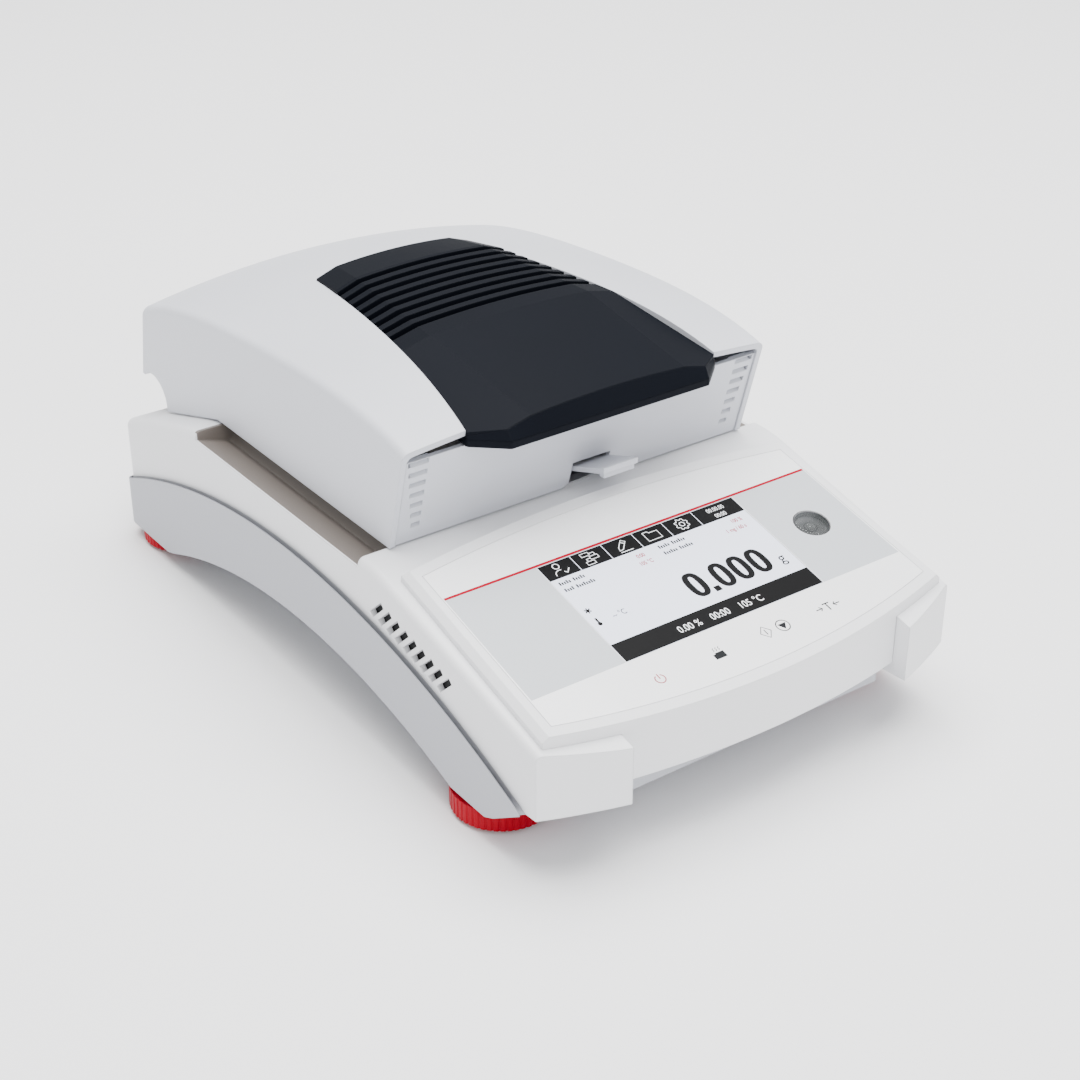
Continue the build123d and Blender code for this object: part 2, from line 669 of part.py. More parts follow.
# Screen: its glass fills the opening and its frame lies under the skin
with BuildPart() as lcd_module:
    with BuildSketch(panel.offset(-PANEL_SKIN)):
        with Locations((SCREEN_X, -SCREEN_S)):
            Rectangle(SCREEN_WIDTH - 2 * SCREEN_GAP, SCREEN_HEIGHT - 2 * SCREEN_GAP)
    extrude(amount=PANEL_SKIN - SCREEN_GAP / 2)
    with BuildSketch(panel.offset(-PANEL_SKIN)):
        with Locations((SCREEN_X, -SCREEN_S)):
            Rectangle(SCREEN_WIDTH + 2 * LCD_MARGIN, SCREEN_HEIGHT + 2 * LCD_MARGIN)
    extrude(amount=-LCD_DEPTH)
keep("lcd_module", lcd_module.part)

# Level: a glass vial seated in a cup under the skin
with BuildPart() as level_holder:
    with BuildSketch(panel.offset(-PANEL_SKIN)):
        with Locations((LEVEL_X, -LEVEL_S)):
            Circle(LEVEL_RADIUS + PANEL_SKIN)
    extrude(amount=-LEVEL_DEPTH)
    with BuildSketch(panel.offset(-PANEL_SKIN)):
        with Locations((LEVEL_X, -LEVEL_S)):
            Circle(LEVEL_RADIUS)
    extrude(amount=FILM_THICKNESS - LEVEL_DEPTH, mode=Mode.SUBTRACT)
keep("level_holder", level_holder.part)

with BuildPart() as level_vial:
    with BuildSketch(panel.offset(FILM_THICKNESS - LEVEL_DEPTH - PANEL_SKIN)):
        with Locations((LEVEL_X, -LEVEL_S)):
            Circle(LEVEL_RADIUS - SCREEN_GAP)
    extrude(amount=LEVEL_DEPTH + PANEL_SKIN - 2 * FILM_THICKNESS)
    fillet(level_vial.faces().sort_by(Axis((0, 0, 0), (0, -sin(TILT), cos(TILT))))[-1].edges(), FILM_THICKNESS)
keep("level_vial", level_vial.part)

# Key plungers under the film, each over its own switch on the display board
for key_name, key_x in zip(KEY_NAMES, KEY_XS):
    with BuildPart() as key:
        with BuildSketch(panel.offset(-PANEL_SKIN - KEY_FOOT)):
            with Locations((key_x, -KEY_S)):
                Circle(KEY_RADIUS - KEY_GAP)
        extrude(amount=PANEL_SKIN + KEY_FOOT - FILM_THICKNESS - KEY_GAP)
        with BuildSketch(panel.offset(-PANEL_SKIN - KEY_GAP)):
            with Locations((key_x, -KEY_S)):
                Circle(KEY_RADIUS + 1)
        extrude(amount=KEY_GAP - KEY_FOOT)
    keep(f"key_{key_name}", key.part)

with BuildPart() as key_switches:
    with BuildSketch(panel.offset(-PANEL_SKIN - LCD_DEPTH)):
        with Locations(*[(x, -KEY_S) for x in KEY_XS]):
            Rectangle(2 * KEY_RADIUS, 2 * KEY_RADIUS)
    extrude(amount=LCD_DEPTH - KEY_FOOT - KEY_TRAVEL - KEY_GAP)
keep("key_switches", key_switches.part)

with BuildPart() as display_board:
    with BuildSketch(panel.offset(-PANEL_SKIN - LCD_DEPTH)):
        with Locations((0, -(DISPLAY_POST_REAR_S + DISPLAY_POST_FRONT_S) / 2)):
            Rectangle(
                2 * (DISPLAY_POST_X + POST_RADIUS / 2),
                DISPLAY_POST_FRONT_S - DISPLAY_POST_REAR_S + POST_RADIUS,
            )
    extrude(amount=-BOARD)
keep("display_board", display_board.part)

# Main board, power supply and the sockets in the rear wall
with BuildPart() as main_board:
    with BuildSketch(Plane.XY.offset(MAIN_BOARD_Z)):
        with Locations((0, (BOARD_FRONT_Y + BOARD_REAR_Y) / 2)):
            Rectangle(2 * (BOARD_POST_X + POST_RADIUS), BOARD_REAR_Y - BOARD_FRONT_Y + 2 * POST_RADIUS)
    extrude(amount=BOARD)
    with BuildSketch(Plane.XY.offset(MAIN_BOARD_Z + BOARD)):
        with GridLocations(BOARD_POST_X / 2, BOARD_POST_X / 3, 3, 2):
            with Locations((0, (BOARD_FRONT_Y + BOARD_REAR_Y) / 2)):
                Rectangle(3 * POST_RADIUS, 3 * POST_RADIUS)
    extrude(amount=BOARD)
keep("main_board", main_board.part)

with BuildPart() as power_supply:
    with BuildSketch(Plane.XY.offset(SUPPLY_Z)):
        with Locations((0, (SUPPLY_FRONT_Y + SUPPLY_REAR_Y) / 2)):
            Rectangle(2 * (SUPPLY_POST_X + POST_RADIUS), SUPPLY_REAR_Y - SUPPLY_FRONT_Y + 2 * POST_RADIUS)
    extrude(amount=SUPPLY_HEIGHT)
keep("power_supply", power_supply.part)

with BuildPart() as power_inlet:
    with BuildSketch(Plane.XZ.offset(-REAR_Y)):
        with Locations((INLET_X, PORT_Z)):
            RectangleRounded(
                INLET_WIDTH + 2 * FLANGE - SCREEN_GAP,
                INLET_HEIGHT + 2 * FLANGE - SCREEN_GAP,
                FLANGE,
            )
    extrude(amount=FLANGE_SHEET)
    with BuildSketch(Plane.XZ.offset(-REAR_Y)):
        with Locations((INLET_X, PORT_Z)):
            Rectangle(INLET_WIDTH - SCREEN_GAP, INLET_HEIGHT - SCREEN_GAP)
    extrude(amount=INLET_DEPTH)
    with BuildSketch(Plane.XZ.offset(-REAR_Y)):
        with Locations((INLET_X, PORT_Z)):
            Rectangle(INLET_WIDTH - 2 * FLANGE_SHEET, INLET_HEIGHT - 2 * FLANGE_SHEET)
    extrude(amount=INLET_DEPTH - FLANGE_SHEET, mode=Mode.SUBTRACT)
    with BuildSketch(Plane.XZ.offset(PIN_START - REAR_Y)):
        with Locations(*[(INLET_X + PIN_PITCH * step, PORT_Z + 2 * abs(step) - 1) for step in (-1, 0, 1)]):
            Rectangle(2, 4)
    extrude(amount=INLET_DEPTH - PIN_START - FLANGE_SHEET / 2)
keep("power_inlet", power_inlet.part)

with BuildPart() as serial_port:
    with BuildSketch(Plane.XZ.offset(-REAR_Y)):
        with Locations((SERIAL_X, PORT_Z)):
            RectangleRounded(
                SERIAL_WIDTH + 4 * FLANGE - SCREEN_GAP,
                SERIAL_HEIGHT + FLANGE - SCREEN_GAP,
                FLANGE / 2,
            )
    extrude(amount=FLANGE_SHEET)
    with BuildSketch(Plane.XZ.offset(-REAR_Y)):
        with Locations((SERIAL_X, PORT_Z)):
            Rectangle(SERIAL_WIDTH - SCREEN_GAP, SERIAL_HEIGHT - SCREEN_GAP)
    extrude(amount=INLET_DEPTH / 2)
    with BuildSketch(Plane.XZ.offset(-REAR_Y)):
        with Locations((SERIAL_X, PORT_Z)):
            Trapezoid(SERIAL_WIDTH - FLANGE, SERIAL_HEIGHT - FLANGE, 80)
    extrude(amount=INLET_DEPTH / 4, mode=Mode.SUBTRACT)
keep("serial_port", serial_port.part)

with BuildPart() as usb_port:
    with BuildSketch(Plane.XZ.offset(-REAR_Y)):
        with Locations((USB_X, PORT_Z)):
            Rectangle(USB_WIDTH - SCREEN_GAP, USB_HEIGHT - SCREEN_GAP)
    extrude(amount=INLET_DEPTH)
    with BuildSketch(Plane.XZ.offset(-REAR_Y)):
        with Locations((USB_X, PORT_Z)):
            Rectangle(USB_WIDTH - FLANGE_SHEET, USB_HEIGHT - FLANGE_SHEET)
    extrude(amount=INLET_DEPTH / 2, mode=Mode.SUBTRACT)
    with BuildSketch(Plane.XZ.offset(TONGUE_START - REAR_Y)):
        with Locations((USB_X, PORT_Z)):
            Rectangle(USB_WIDTH - 2 * FLANGE, FLANGE_SHEET)
    extrude(amount=INLET_DEPTH / 2)
keep("usb_port", usb_port.part)

# Levelling feet: a pad that stays still, and a knurled wheel with its stud
for foot_name, (foot_x, foot_y) in FEET:
    with BuildPart() as foot_pad:
        with BuildSketch():
            with Locations((foot_x, foot_y)):
                Circle(PAD_RADIUS)
        extrude(amount=PAD_HEIGHT)
        chamfer(foot_pad.faces().sort_by(Axis.Z)[0].edges(), PAD_HEIGHT / 4)
        with BuildSketch(Plane.XY.offset(PAD_HEIGHT)):
            with Locations((foot_x, foot_y)):
                Circle(STUD_RADIUS)
        extrude(amount=PAD_HEIGHT)
    keep(f"foot_pad_{foot_name}", foot_pad.part)

    with BuildPart() as foot_wheel:
        with BuildSketch(Plane.XY.offset(PAD_HEIGHT)):
            with Locations((foot_x, foot_y)):
                Circle(WHEEL_RADIUS)
                with PolarLocations(WHEEL_RADIUS + TOOTH_DEPTH / 2, WHEEL_TEETH):
                    Circle(TOOTH_DEPTH, mode=Mode.SUBTRACT)
                Circle(STUD_RADIUS + STUD_GAP, mode=Mode.SUBTRACT)
        extrude(amount=WHEEL_HEIGHT)
        with BuildSketch(Plane.XY.offset(2 * PAD_HEIGHT + STUD_GAP)):
            with Locations((foot_x, foot_y)):
                Circle(STUD_RADIUS + STUD_GAP)
        extrude(amount=WHEEL_HEIGHT - PAD_HEIGHT - STUD_GAP)
        with BuildSketch(Plane.XY.offset(PAD_HEIGHT + WHEEL_HEIGHT)):
            with Locations((foot_x, foot_y)):
                Circle(STUD_RADIUS)
        extrude(amount=STUD_LENGTH)
    keep(f"foot_wheel_{foot_name}", foot_wheel.part)

# Load cell, its plate and the stem that carries the pan
with BuildPart() as load_cell_plate:
    with BuildSketch(Plane.XY.offset(CELL_PLATE_Z)):
        with Locations((0, CHAMBER_Y)):
            Rectangle(2 * (CELL_POST_X + POST_RADIUS), 2 * (CELL_POST_Y + POST_RADIUS))
    extrude(amount=CELL_SHEET)
    with BuildSketch(Plane.XY.offset(CELL_PLATE_Z + CELL_SHEET)):
        with Locations((0, CHAMBER_Y + CELL_LENGTH / 2 - CELL_FOOT / 2)):
            Rectangle(CELL_WIDTH, CELL_FOOT)
    extrude(amount=CELL_TOP_Z - CELL_HEIGHT - CELL_PLATE_Z - CELL_SHEET)
keep("load_cell_plate", load_cell_plate.part)

with BuildPart() as load_cell:
    with BuildSketch(Plane.XY.offset(CELL_TOP_Z - CELL_HEIGHT)):
        with Locations((0, CHAMBER_Y)):
            Rectangle(CELL_WIDTH, CELL_LENGTH)
    extrude(amount=CELL_HEIGHT)
    with BuildSketch(Plane.YZ):
        with Locations((CHAMBER_Y, CELL_TOP_Z - CELL_HEIGHT / 2)):
            with Locations((-CELL_LENGTH / 5, 0), (CELL_LENGTH / 5, 0)):
                Circle(CELL_HEIGHT * 0.38)
            Rectangle(CELL_LENGTH / 2.5, CELL_HEIGHT / 3)
    extrude(amount=CELL_WIDTH, both=True, mode=Mode.SUBTRACT)
keep("load_cell", load_cell.part)

with BuildPart() as chamber_tray:
    with BuildSketch(Plane.XY.offset(TRAY_FLOOR_Z)):
        with Locations((0, CHAMBER_Y)):
            Circle(CHAMBER_RADIUS - TRAY_GAP)
    extrude(amount=DECK_Z + TRAY_SHEET - TRAY_FLOOR_Z)
    with BuildSketch(Plane.XY.offset(DECK_Z)):
        with Locations((0, CHAMBER_Y)):
            Circle(CHAMBER_RADIUS + TRAY_FLANGE)
    extrude(amount=TRAY_SHEET)
    with BuildSketch(Plane.XY.offset(TRAY_FLOOR_Z + TRAY_SHEET)):
        with Locations((0, CHAMBER_Y)):
            Circle(CHAMBER_RADIUS - TRAY_GAP - TRAY_SHEET)
    extrude(amount=DECK_Z, mode=Mode.SUBTRACT)
    with BuildSketch(Plane.XY.offset(TRAY_FLOOR_Z)):
        with Locations((0, CHAMBER_Y)):
            Circle(SPINDLE_HOLE)
    extrude(amount=TRAY_SHEET, mode=Mode.SUBTRACT)
keep("chamber_tray", chamber_tray.part)

with BuildPart() as draft_shield:
    with BuildSketch(Plane.XY.offset(TRAY_FLOOR_Z + TRAY_SHEET)):
        with Locations((0, CHAMBER_Y)):
            Circle(SHIELD_RADIUS)
            Circle(SHIELD_RADIUS - SHIELD_SHEET, mode=Mode.SUBTRACT)
    extrude(amount=HANDLER_Z - TRAY_FLOOR_Z - TRAY_SHEET)
keep("draft_shield", draft_shield.part)

with BuildPart() as pan_support:
    with BuildSketch(Plane.XY.offset(CELL_TOP_Z + CELL_GAP)):
        with Locations((0, CHAMBER_Y)):
            Circle(SPINDLE_RADIUS)
    extrude(amount=PAN_Z - CELL_TOP_Z - CELL_GAP)
    with BuildSketch(Plane.XY.offset(PAN_Z - ARM_SHEET)):
        with Locations((0, CHAMBER_Y)):
            Circle(2 * SPINDLE_RADIUS)
            with PolarLocations(SUPPORT_REACH / 2, 3, start_angle=90):
                Rectangle(SUPPORT_REACH, SPINDLE_RADIUS)
    extrude(amount=ARM_SHEET)
keep("pan_support", pan_support.part)

with BuildPart() as sample_pan:
    with BuildSketch(Plane.XZ.offset(-CHAMBER_Y)):
        with BuildLine():
            Polyline(
                (0, PAN_Z),
                (PAN_RADIUS, PAN_Z),
                (PAN_RADIUS, PAN_Z + PAN_HEIGHT - PAN_SHEET),
                (PAN_RIM, PAN_Z + PAN_HEIGHT - PAN_SHEET),
                (PAN_RIM, PAN_Z + PAN_HEIGHT),
                (PAN_RADIUS - PAN_SHEET, PAN_Z + PAN_HEIGHT),
                (PAN_RADIUS - PAN_SHEET, PAN_Z + PAN_SHEET),
                (0, PAN_Z + PAN_SHEET),
                (0, PAN_Z),
            )
        make_face()
    revolve(axis=Axis((0, CHAMBER_Y, 0), (0, 0, 1)))
keep("sample_pan", sample_pan.part)

# Pan handler: a ring under the rim of the pan, with its grip outside the hood
with BuildPart() as pan_handler:
    with BuildSketch(Plane.XY.offset(HANDLER_Z)):
        with Locations((0, CHAMBER_Y)):
            Circle(SHIELD_RADIUS - FLANGE_SHEET)
    extrude(amount=HANDLER_SHEET)
    with BuildSketch(Plane.YZ.offset(GRIP_X)):
        with BuildLine():
            root_y = CHAMBER_Y - SHIELD_RADIUS + GRIP_ROOT
            bend_y = CHAMBER_Y - SHIELD_RADIUS
            Polyline(
                (root_y, HANDLER_Z),
                (bend_y, HANDLER_Z),
                (GRIP_TIP_Y, GRIP_TIP_Z - GRIP_SHEET),
                (GRIP_TIP_Y, GRIP_TIP_Z),
                (bend_y, HANDLER_Z + HANDLER_SHEET),
                (root_y, HANDLER_Z + HANDLER_SHEET),
                (root_y, HANDLER_Z),
            )
        make_face()
    extrude(amount=GRIP_WIDTH / 2, both=True)
    with BuildSketch(Plane.YZ.offset(GRIP_X)):
        with BuildLine():
            Polyline(
                (GRIP_TIP_Y + 1, GRIP_TIP_Z - GRIP_SHEET),
                (GRIP_TIP_Y + 1, GRIP_TIP_Z - 2 * GRIP_SHEET),
                (GRIP_TIP_Y + 1 + GRIP_SHEET, GRIP_TIP_Z - 2 * GRIP_SHEET),
                (GRIP_TIP_Y + 1 + 2 * GRIP_SHEET, GRIP_TIP_Z - GRIP_SHEET),
                (GRIP_TIP_Y + 1, GRIP_TIP_Z - GRIP_SHEET),
            )
        make_face()
    extrude(amount=GRIP_WIDTH / 2 - 1, both=True)
    with BuildSketch(Plane.XY.offset(HANDLER_Z)):
        with Locations((0, CHAMBER_Y)):
            Circle(HANDLER_INNER)
    extrude(amount=2 * HANDLER_SHEET, mode=Mode.SUBTRACT)
keep("pan_handler", pan_handler.part)


def hood_block(inset):
    """Crowned block under the top of the hood, moved inwards by the inset."""
    with BuildPart() as block:
        for station_y, side_z, crown in HOOD_STATIONS:
            half = HOOD_HALF - inset
            with BuildSketch(Plane.XZ.offset(-station_y)) as section:
                with BuildLine():
                    Polyline((half, side_z - inset), (half, HINGE_Z / 2), (-half, HINGE_Z / 2), (-half, side_z - inset))
                    ThreePointArc((-half, side_z - inset), (0, side_z - inset + crown), (half, side_z - inset))
                make_face()
                fillet(section.vertices().group_by(Axis.Y)[-1], HOOD_ROUND - inset / 2)
        loft()
    return block.part


def hood_side_face(inset):
    """Side outline of the hood in (Y, Z); an inset gives its inside instead."""
    top_z = 2 * DECK_Z
    slope = REAR_SLOPE_DROP / (REAR_Y - REAR_SLOPE_TOP_Y)
    heel_z = HOOD_BOTTOM_Z - slope * (HOOD_HEEL_Y - REAR_SLOPE_TOP_Y)
    front_y = HOOD_FRONT_Y - HOOD_FRONT_LEAN * (top_z - HOOD_BOTTOM_Z)
    rear_y = HOOD_REAR_Y - inset
    rear_top_y = rear_y - HOOD_REAR_LEAN * (top_z - HOOD_REAR_BOTTOM_Z)
    with BuildSketch() as side:
        with BuildLine():
            if inset:
                Polyline(
                    (2 * front_y, HINGE_Z / 2),
                    (rear_y, HINGE_Z / 2),
                    (rear_y, HOOD_REAR_BOTTOM_Z),
                    (rear_top_y, top_z),
                    (2 * front_y, top_z),
                    (2 * front_y, HINGE_Z / 2),
                )
            else:
                Polyline(
                    (HOOD_FRONT_Y, HOOD_BOTTOM_Z),
                    (REAR_SLOPE_TOP_Y, HOOD_BOTTOM_Z),
                    (HOOD_HEEL_Y, heel_z),
                    (HINGE_Y, heel_z),
                    (HINGE_Y, HOOD_REAR_BOTTOM_Z),
                    (rear_y, HOOD_REAR_BOTTOM_Z),
                    (rear_top_y, top_z),
                    (front_y, top_z),
                    (HOOD_FRONT_Y, HOOD_BOTTOM_Z),
                )
        make_face()
        if not inset:
            with Locations((HINGE_Y, HINGE_Z)):
                Circle(NOTCH_RADIUS, mode=Mode.SUBTRACT)
    return side.sketch


def cover_plan(inset, front_inset):
    """Plan outline of the vent cover, moved inwards all round and in front."""
    half = COVER_REAR_HALF - inset
    front = COVER_FRONT_HALF - inset
    lip_y = COVER_LIP_Y + front_inset
    with BuildSketch() as plan:
        with BuildLine():
            Polyline(
                (-half, COVER_REAR_Y - inset),
                (half, COVER_REAR_Y - inset),
                (front, COVER_FRONT_Y + front_inset / 2),
                (COVER_LIP_HALF - front_inset / 2, lip_y),
                (front_inset / 2 - COVER_LIP_HALF, lip_y),
                (-front, COVER_FRONT_Y + front_inset / 2),
                (-half, COVER_REAR_Y - inset),
            )
        make_face()
    return plan.sketch


# Hood shell, open in front for its panel and on top for the vent cover
with BuildPart() as hood_void:
    add(hood_block(HOOD_WALL))
    with BuildSketch(Plane.YZ):
        add(hood_side_face(HOOD_WALL))
    extrude(amount=HOOD_HALF, both=True, mode=Mode.INTERSECT)

with BuildPart() as hood_shell:
    add(hood_block(0))
    with BuildSketch(Plane.YZ):
        add(hood_side_face(0))
    extrude(amount=HOOD_HALF + 1, both=True, mode=Mode.INTERSECT)
    add(hood_void.part, mode=Mode.SUBTRACT)
    with BuildSketch(Plane.XY.offset(FRONT_PANEL_TOP_Z)):
        add(cover_plan(0, 0))
    extrude(amount=DECK_Z, mode=Mode.SUBTRACT)
    for boss_x in (-LID_BOSS_X, LID_BOSS_X):
        for boss_y in (CHAMBER_Y - LID_BOSS_Y, CHAMBER_Y + LID_BOSS_Y):
            with BuildPart(mode=Mode.PRIVATE) as lid_boss:
                with BuildSketch(Plane.XY.offset(HEATER_TOP_Z)):
                    with Locations((boss_x, boss_y)):
                        Circle(POST_RADIUS)
                extrude(amount=DECK_Z)
                add(hood_block(HOOD_WALL / 2), mode=Mode.INTERSECT)
                with BuildSketch(Plane.XY.offset(HEATER_TOP_Z)):
                    with Locations((boss_x, boss_y)):
                        Circle(SCREW_RADIUS)
                extrude(amount=SCREW_BITE, mode=Mode.SUBTRACT)
            add(lid_boss.part)
keep("hood_shell", hood_shell.part)

# Front panel of the hood, with its louvres and the notch for the grip
with BuildPart() as hood_front_panel:
    with BuildSketch(Plane.YZ):
        with BuildLine():
            bottom_y = HOOD_FRONT_Y + FRONT_PANEL_INSET
            top_y = bottom_y - HOOD_FRONT_LEAN * (FRONT_PANEL_TOP_Z - HOOD_BOTTOM_Z)
            Polyline(
                (bottom_y, HOOD_BOTTOM_Z),
                (bottom_y + FRONT_PANEL_SHEET, HOOD_BOTTOM_Z),
                (top_y + FRONT_PANEL_SHEET, FRONT_PANEL_TOP_Z),
                (top_y, FRONT_PANEL_TOP_Z),
                (bottom_y, HOOD_BOTTOM_Z),
            )
        make_face()
    extrude(amount=HOOD_HALF - HOOD_WALL - FRONT_PANEL_GAP, both=True)
    with BuildSketch(Plane.XZ):
        for index in range(LOUVRES):
            louvre_z = LOUVRE_TOP_Z - index * LOUVRE_PITCH
            outer_x = LOUVRE_OUTER_TOP_X - index * LOUVRE_OUTER_LEAN
            spots = [(side * (outer_x + LOUVRE_INNER_X) / 2, louvre_z) for side in (-1, 1)]
            with Locations(*spots):
                Rectangle(outer_x - LOUVRE_INNER_X, LOUVRE_HEIGHT)
        with BuildLine():
            notch_right = 2 * GRIP_X - NOTCH_LEFT_X
            Polyline(
                (NOTCH_LEFT_X, NOTCH_TOP_Z),
                (notch_right, NOTCH_TOP_Z),
                (notch_right, HOOD_BOTTOM_Z + NOTCH_FLARE),
                (notch_right + 2 * NOTCH_FLARE, HOOD_BOTTOM_Z - 1),
                (NOTCH_LEFT_X - 2 * NOTCH_FLARE, HOOD_BOTTOM_Z - 1),
                (NOTCH_LEFT_X, HOOD_BOTTOM_Z + NOTCH_FLARE),
                (NOTCH_LEFT_X, NOTCH_TOP_Z),
            )
        make_face()
    extrude(amount=HOOD_HALF, mode=Mode.SUBTRACT)
keep("hood_front_panel", hood_front_panel.part)


def cover_block(sink, trim):
    """Bevelled and crowned block under the top of the vent cover."""
    with BuildPart() as block:
        for station_y, facet_x, facet_z, edge_x, edge_z in COVER_STATIONS:
            fall = (facet_z - edge_z) / (edge_x - facet_x)
            outer_x = edge_x + COVER_OVERRUN - trim
            outer_z = edge_z - fall * COVER_OVERRUN - sink
            with BuildSketch(Plane.XZ.offset(-station_y)):
                with BuildLine():
                    ThreePointArc(
                        (facet_x, facet_z - sink),
                        (0, facet_z - sink + COVER_CROWN),
                        (-facet_x, facet_z - sink),
                    )
                    Polyline(
                        (-facet_x, facet_z - sink),
                        (-outer_x, outer_z),
                        (-outer_x, edge_z - 2 * COVER_DEPTH),
                        (outer_x, edge_z - 2 * COVER_DEPTH),
                        (outer_x, outer_z),
                        (facet_x, facet_z - sink),
                    )
                make_face()
        loft(ruled=True)
    return block.part


# Vent cover: bevelled plate with seven ridges, slots between them and a front lip
with BuildPart() as vent_cover:
    add(cover_block(0, 0))
    with BuildSketch(Plane.XY.offset(HEATER_TOP_Z)):
        add(cover_plan(COVER_GAP, COVER_STEP))
    extrude(amount=DECK_Z, mode=Mode.INTERSECT)
    add(cover_block(COVER_DEPTH, COVER_OVERRUN + COVER_DEPTH / 2), mode=Mode.SUBTRACT)
    with BuildSketch(Plane.XY.offset(COVER_LIP_Z)):
        add(cover_plan(COVER_GAP, 0))
        with Locations((0, COVER_LIP_Y)):
            Rectangle(4 * COVER_LIP_HALF, 2 * COVER_LIP_DEPTH, mode=Mode.INTERSECT)
    extrude(amount=COVER_LIP_THICKNESS)
    pitch = (RIDGE_REAR_Y - RIDGE_FRONT_Y) / (RIDGES + 1)
    for index in range(RIDGES + 1):
        groove_y = RIDGE_REAR_Y - (index + 0.5) * pitch
        share = (groove_y - COVER_STATIONS[1][0]) / (COVER_STATIONS[2][0] - COVER_STATIONS[1][0])
        facet_x = COVER_STATIONS[1][1] + share * (COVER_STATIONS[2][1] - COVER_STATIONS[1][1])
        facet_z = COVER_STATIONS[1][2] + share * (COVER_STATIONS[2][2] - COVER_STATIONS[1][2])
        edge_x = COVER_STATIONS[1][3] + share * (COVER_STATIONS[2][3] - COVER_STATIONS[1][3])
        edge_z = COVER_STATIONS[1][4] + share * (COVER_STATIONS[2][4] - COVER_STATIONS[1][4])
        fall = (facet_z - edge_z) / (edge_x - facet_x)
        with BuildSketch(Plane.XZ.offset(GROOVE_WIDTH / 2 - groove_y)):
            with BuildLine():
                floor_z = facet_z - GROOVE_DEPTH
                outer_x = edge_x + COVER_OVERRUN
                Polyline(
                    (-facet_x, floor_z),
                    (-outer_x, floor_z - fall * (outer_x - facet_x)),
                    (-outer_x, 2 * DECK_Z),
                    (outer_x, 2 * DECK_Z),
                    (outer_x, floor_z - fall * (outer_x - facet_x)),
                    (facet_x, floor_z),
                    (-facet_x, floor_z),
                )
            make_face()
        extrude(amount=-GROOVE_WIDTH, mode=Mode.SUBTRACT)
        with BuildSketch(Plane.XY.offset(HEATER_TOP_Z)):
            with Locations((0, groove_y)):
                Rectangle(2 * facet_x, SLOT_WIDTH)
        extrude(amount=DECK_Z, mode=Mode.SUBTRACT)
keep("vent_cover", vent_cover.part)

# Heater: housing, reflector, ring lamp in its holders, glass and retainer
with BuildPart() as heater_housing:
    with BuildSketch(Plane.XY.offset(HEATER_BOTTOM_Z + RETAINER_SHEET)):
        with Locations((0, CHAMBER_Y)):
            Circle(HEATER_RADIUS)
    extrude(amount=HEATER_TOP_Z - HEATER_BOTTOM_Z - RETAINER_SHEET)
    with BuildSketch(Plane.XY.offset(HEATER_TOP_Z - HEATER_WALL)):
        with Locations((0, CHAMBER_Y)):
            Rectangle(2 * (LID_BOSS_X + POST_RADIUS), 2 * (LID_BOSS_Y + POST_RADIUS))
            with GridLocations(2 * LID_BOSS_X, 2 * LID_BOSS_Y, 2, 2):
                Circle(SCREW_RADIUS, mode=Mode.SUBTRACT)
    extrude(amount=HEATER_WALL)
    with BuildSketch(Plane.XY.offset(HEATER_BOTTOM_Z + RETAINER_SHEET)):
        with Locations((0, CHAMBER_Y)):
            Circle(HEATER_RADIUS - HEATER_WALL)
    extrude(amount=HEATER_TOP_Z - HEATER_BOTTOM_Z - RETAINER_SHEET - HEATER_WALL, mode=Mode.SUBTRACT)
keep("heater_housing", heater_housing.part)

with BuildPart() as reflector:
    with BuildSketch(Plane.XZ.offset(-CHAMBER_Y)):
        with BuildLine():
            rim_x = HEATER_RADIUS - HEATER_WALL - TRAY_GAP
            crest = (LAMP_RING_RADIUS, HEATER_TOP_Z - 2 * HEATER_WALL)
            start = (rim_x, HEATER_BOTTOM_Z + RETAINER_SHEET + GLASS_THICKNESS)
            finish_z = LAMP_Z
            ThreePointArc(start, crest, (REFLECTOR_INNER, finish_z))
            Line((REFLECTOR_INNER, finish_z), (REFLECTOR_INNER + HEATER_WALL, finish_z))
            ThreePointArc(
                (REFLECTOR_INNER + HEATER_WALL, finish_z),
                (LAMP_RING_RADIUS, crest[1] - HEATER_WALL),
                (rim_x - HEATER_WALL, start[1]),
            )
            Line((rim_x - HEATER_WALL, start[1]), start)
        make_face()
    revolve(axis=Axis((0, CHAMBER_Y, 0), (0, 0, 1)))
    with BuildSketch(Plane.XY.offset(LAMP_Z)):
        with Locations((0, CHAMBER_Y)):
            Circle(REFLECTOR_INNER + HEATER_WALL)
    extrude(amount=HEATER_WALL)
keep("reflector", reflector.part)

with BuildPart() as halogen_lamp:
    with BuildSketch(Plane.XZ.offset(-CHAMBER_Y)):
        with Locations((LAMP_RING_RADIUS, LAMP_Z)):
            Circle(LAMP_TUBE_RADIUS)
    revolve(axis=Axis((0, CHAMBER_Y, 0), (0, 0, 1)))
keep("halogen_lamp", halogen_lamp.part)

with BuildPart() as lamp_clips:
    clip_bottom_z = LAMP_Z + LAMP_TUBE_RADIUS - 1
    with BuildSketch(Plane.XY.offset(clip_bottom_z)):
        with Locations((0, CHAMBER_Y)):
            with PolarLocations(LAMP_RING_RADIUS, 3):
                Rectangle(2 * LAMP_TUBE_RADIUS, LAMP_TUBE_RADIUS)
    extrude(amount=HEATER_TOP_Z - 3 * HEATER_WALL - clip_bottom_z)
    add(halogen_lamp.part, mode=Mode.SUBTRACT)
    add(reflector.part, mode=Mode.SUBTRACT)
keep("lamp_clips", lamp_clips.part)

with BuildPart() as protective_glass:
    with BuildSketch(Plane.XY.offset(HEATER_BOTTOM_Z + RETAINER_SHEET)):
        with Locations((0, CHAMBER_Y)):
            Circle(GLASS_RADIUS)
    extrude(amount=GLASS_THICKNESS)
keep("protective_glass", protective_glass.part)

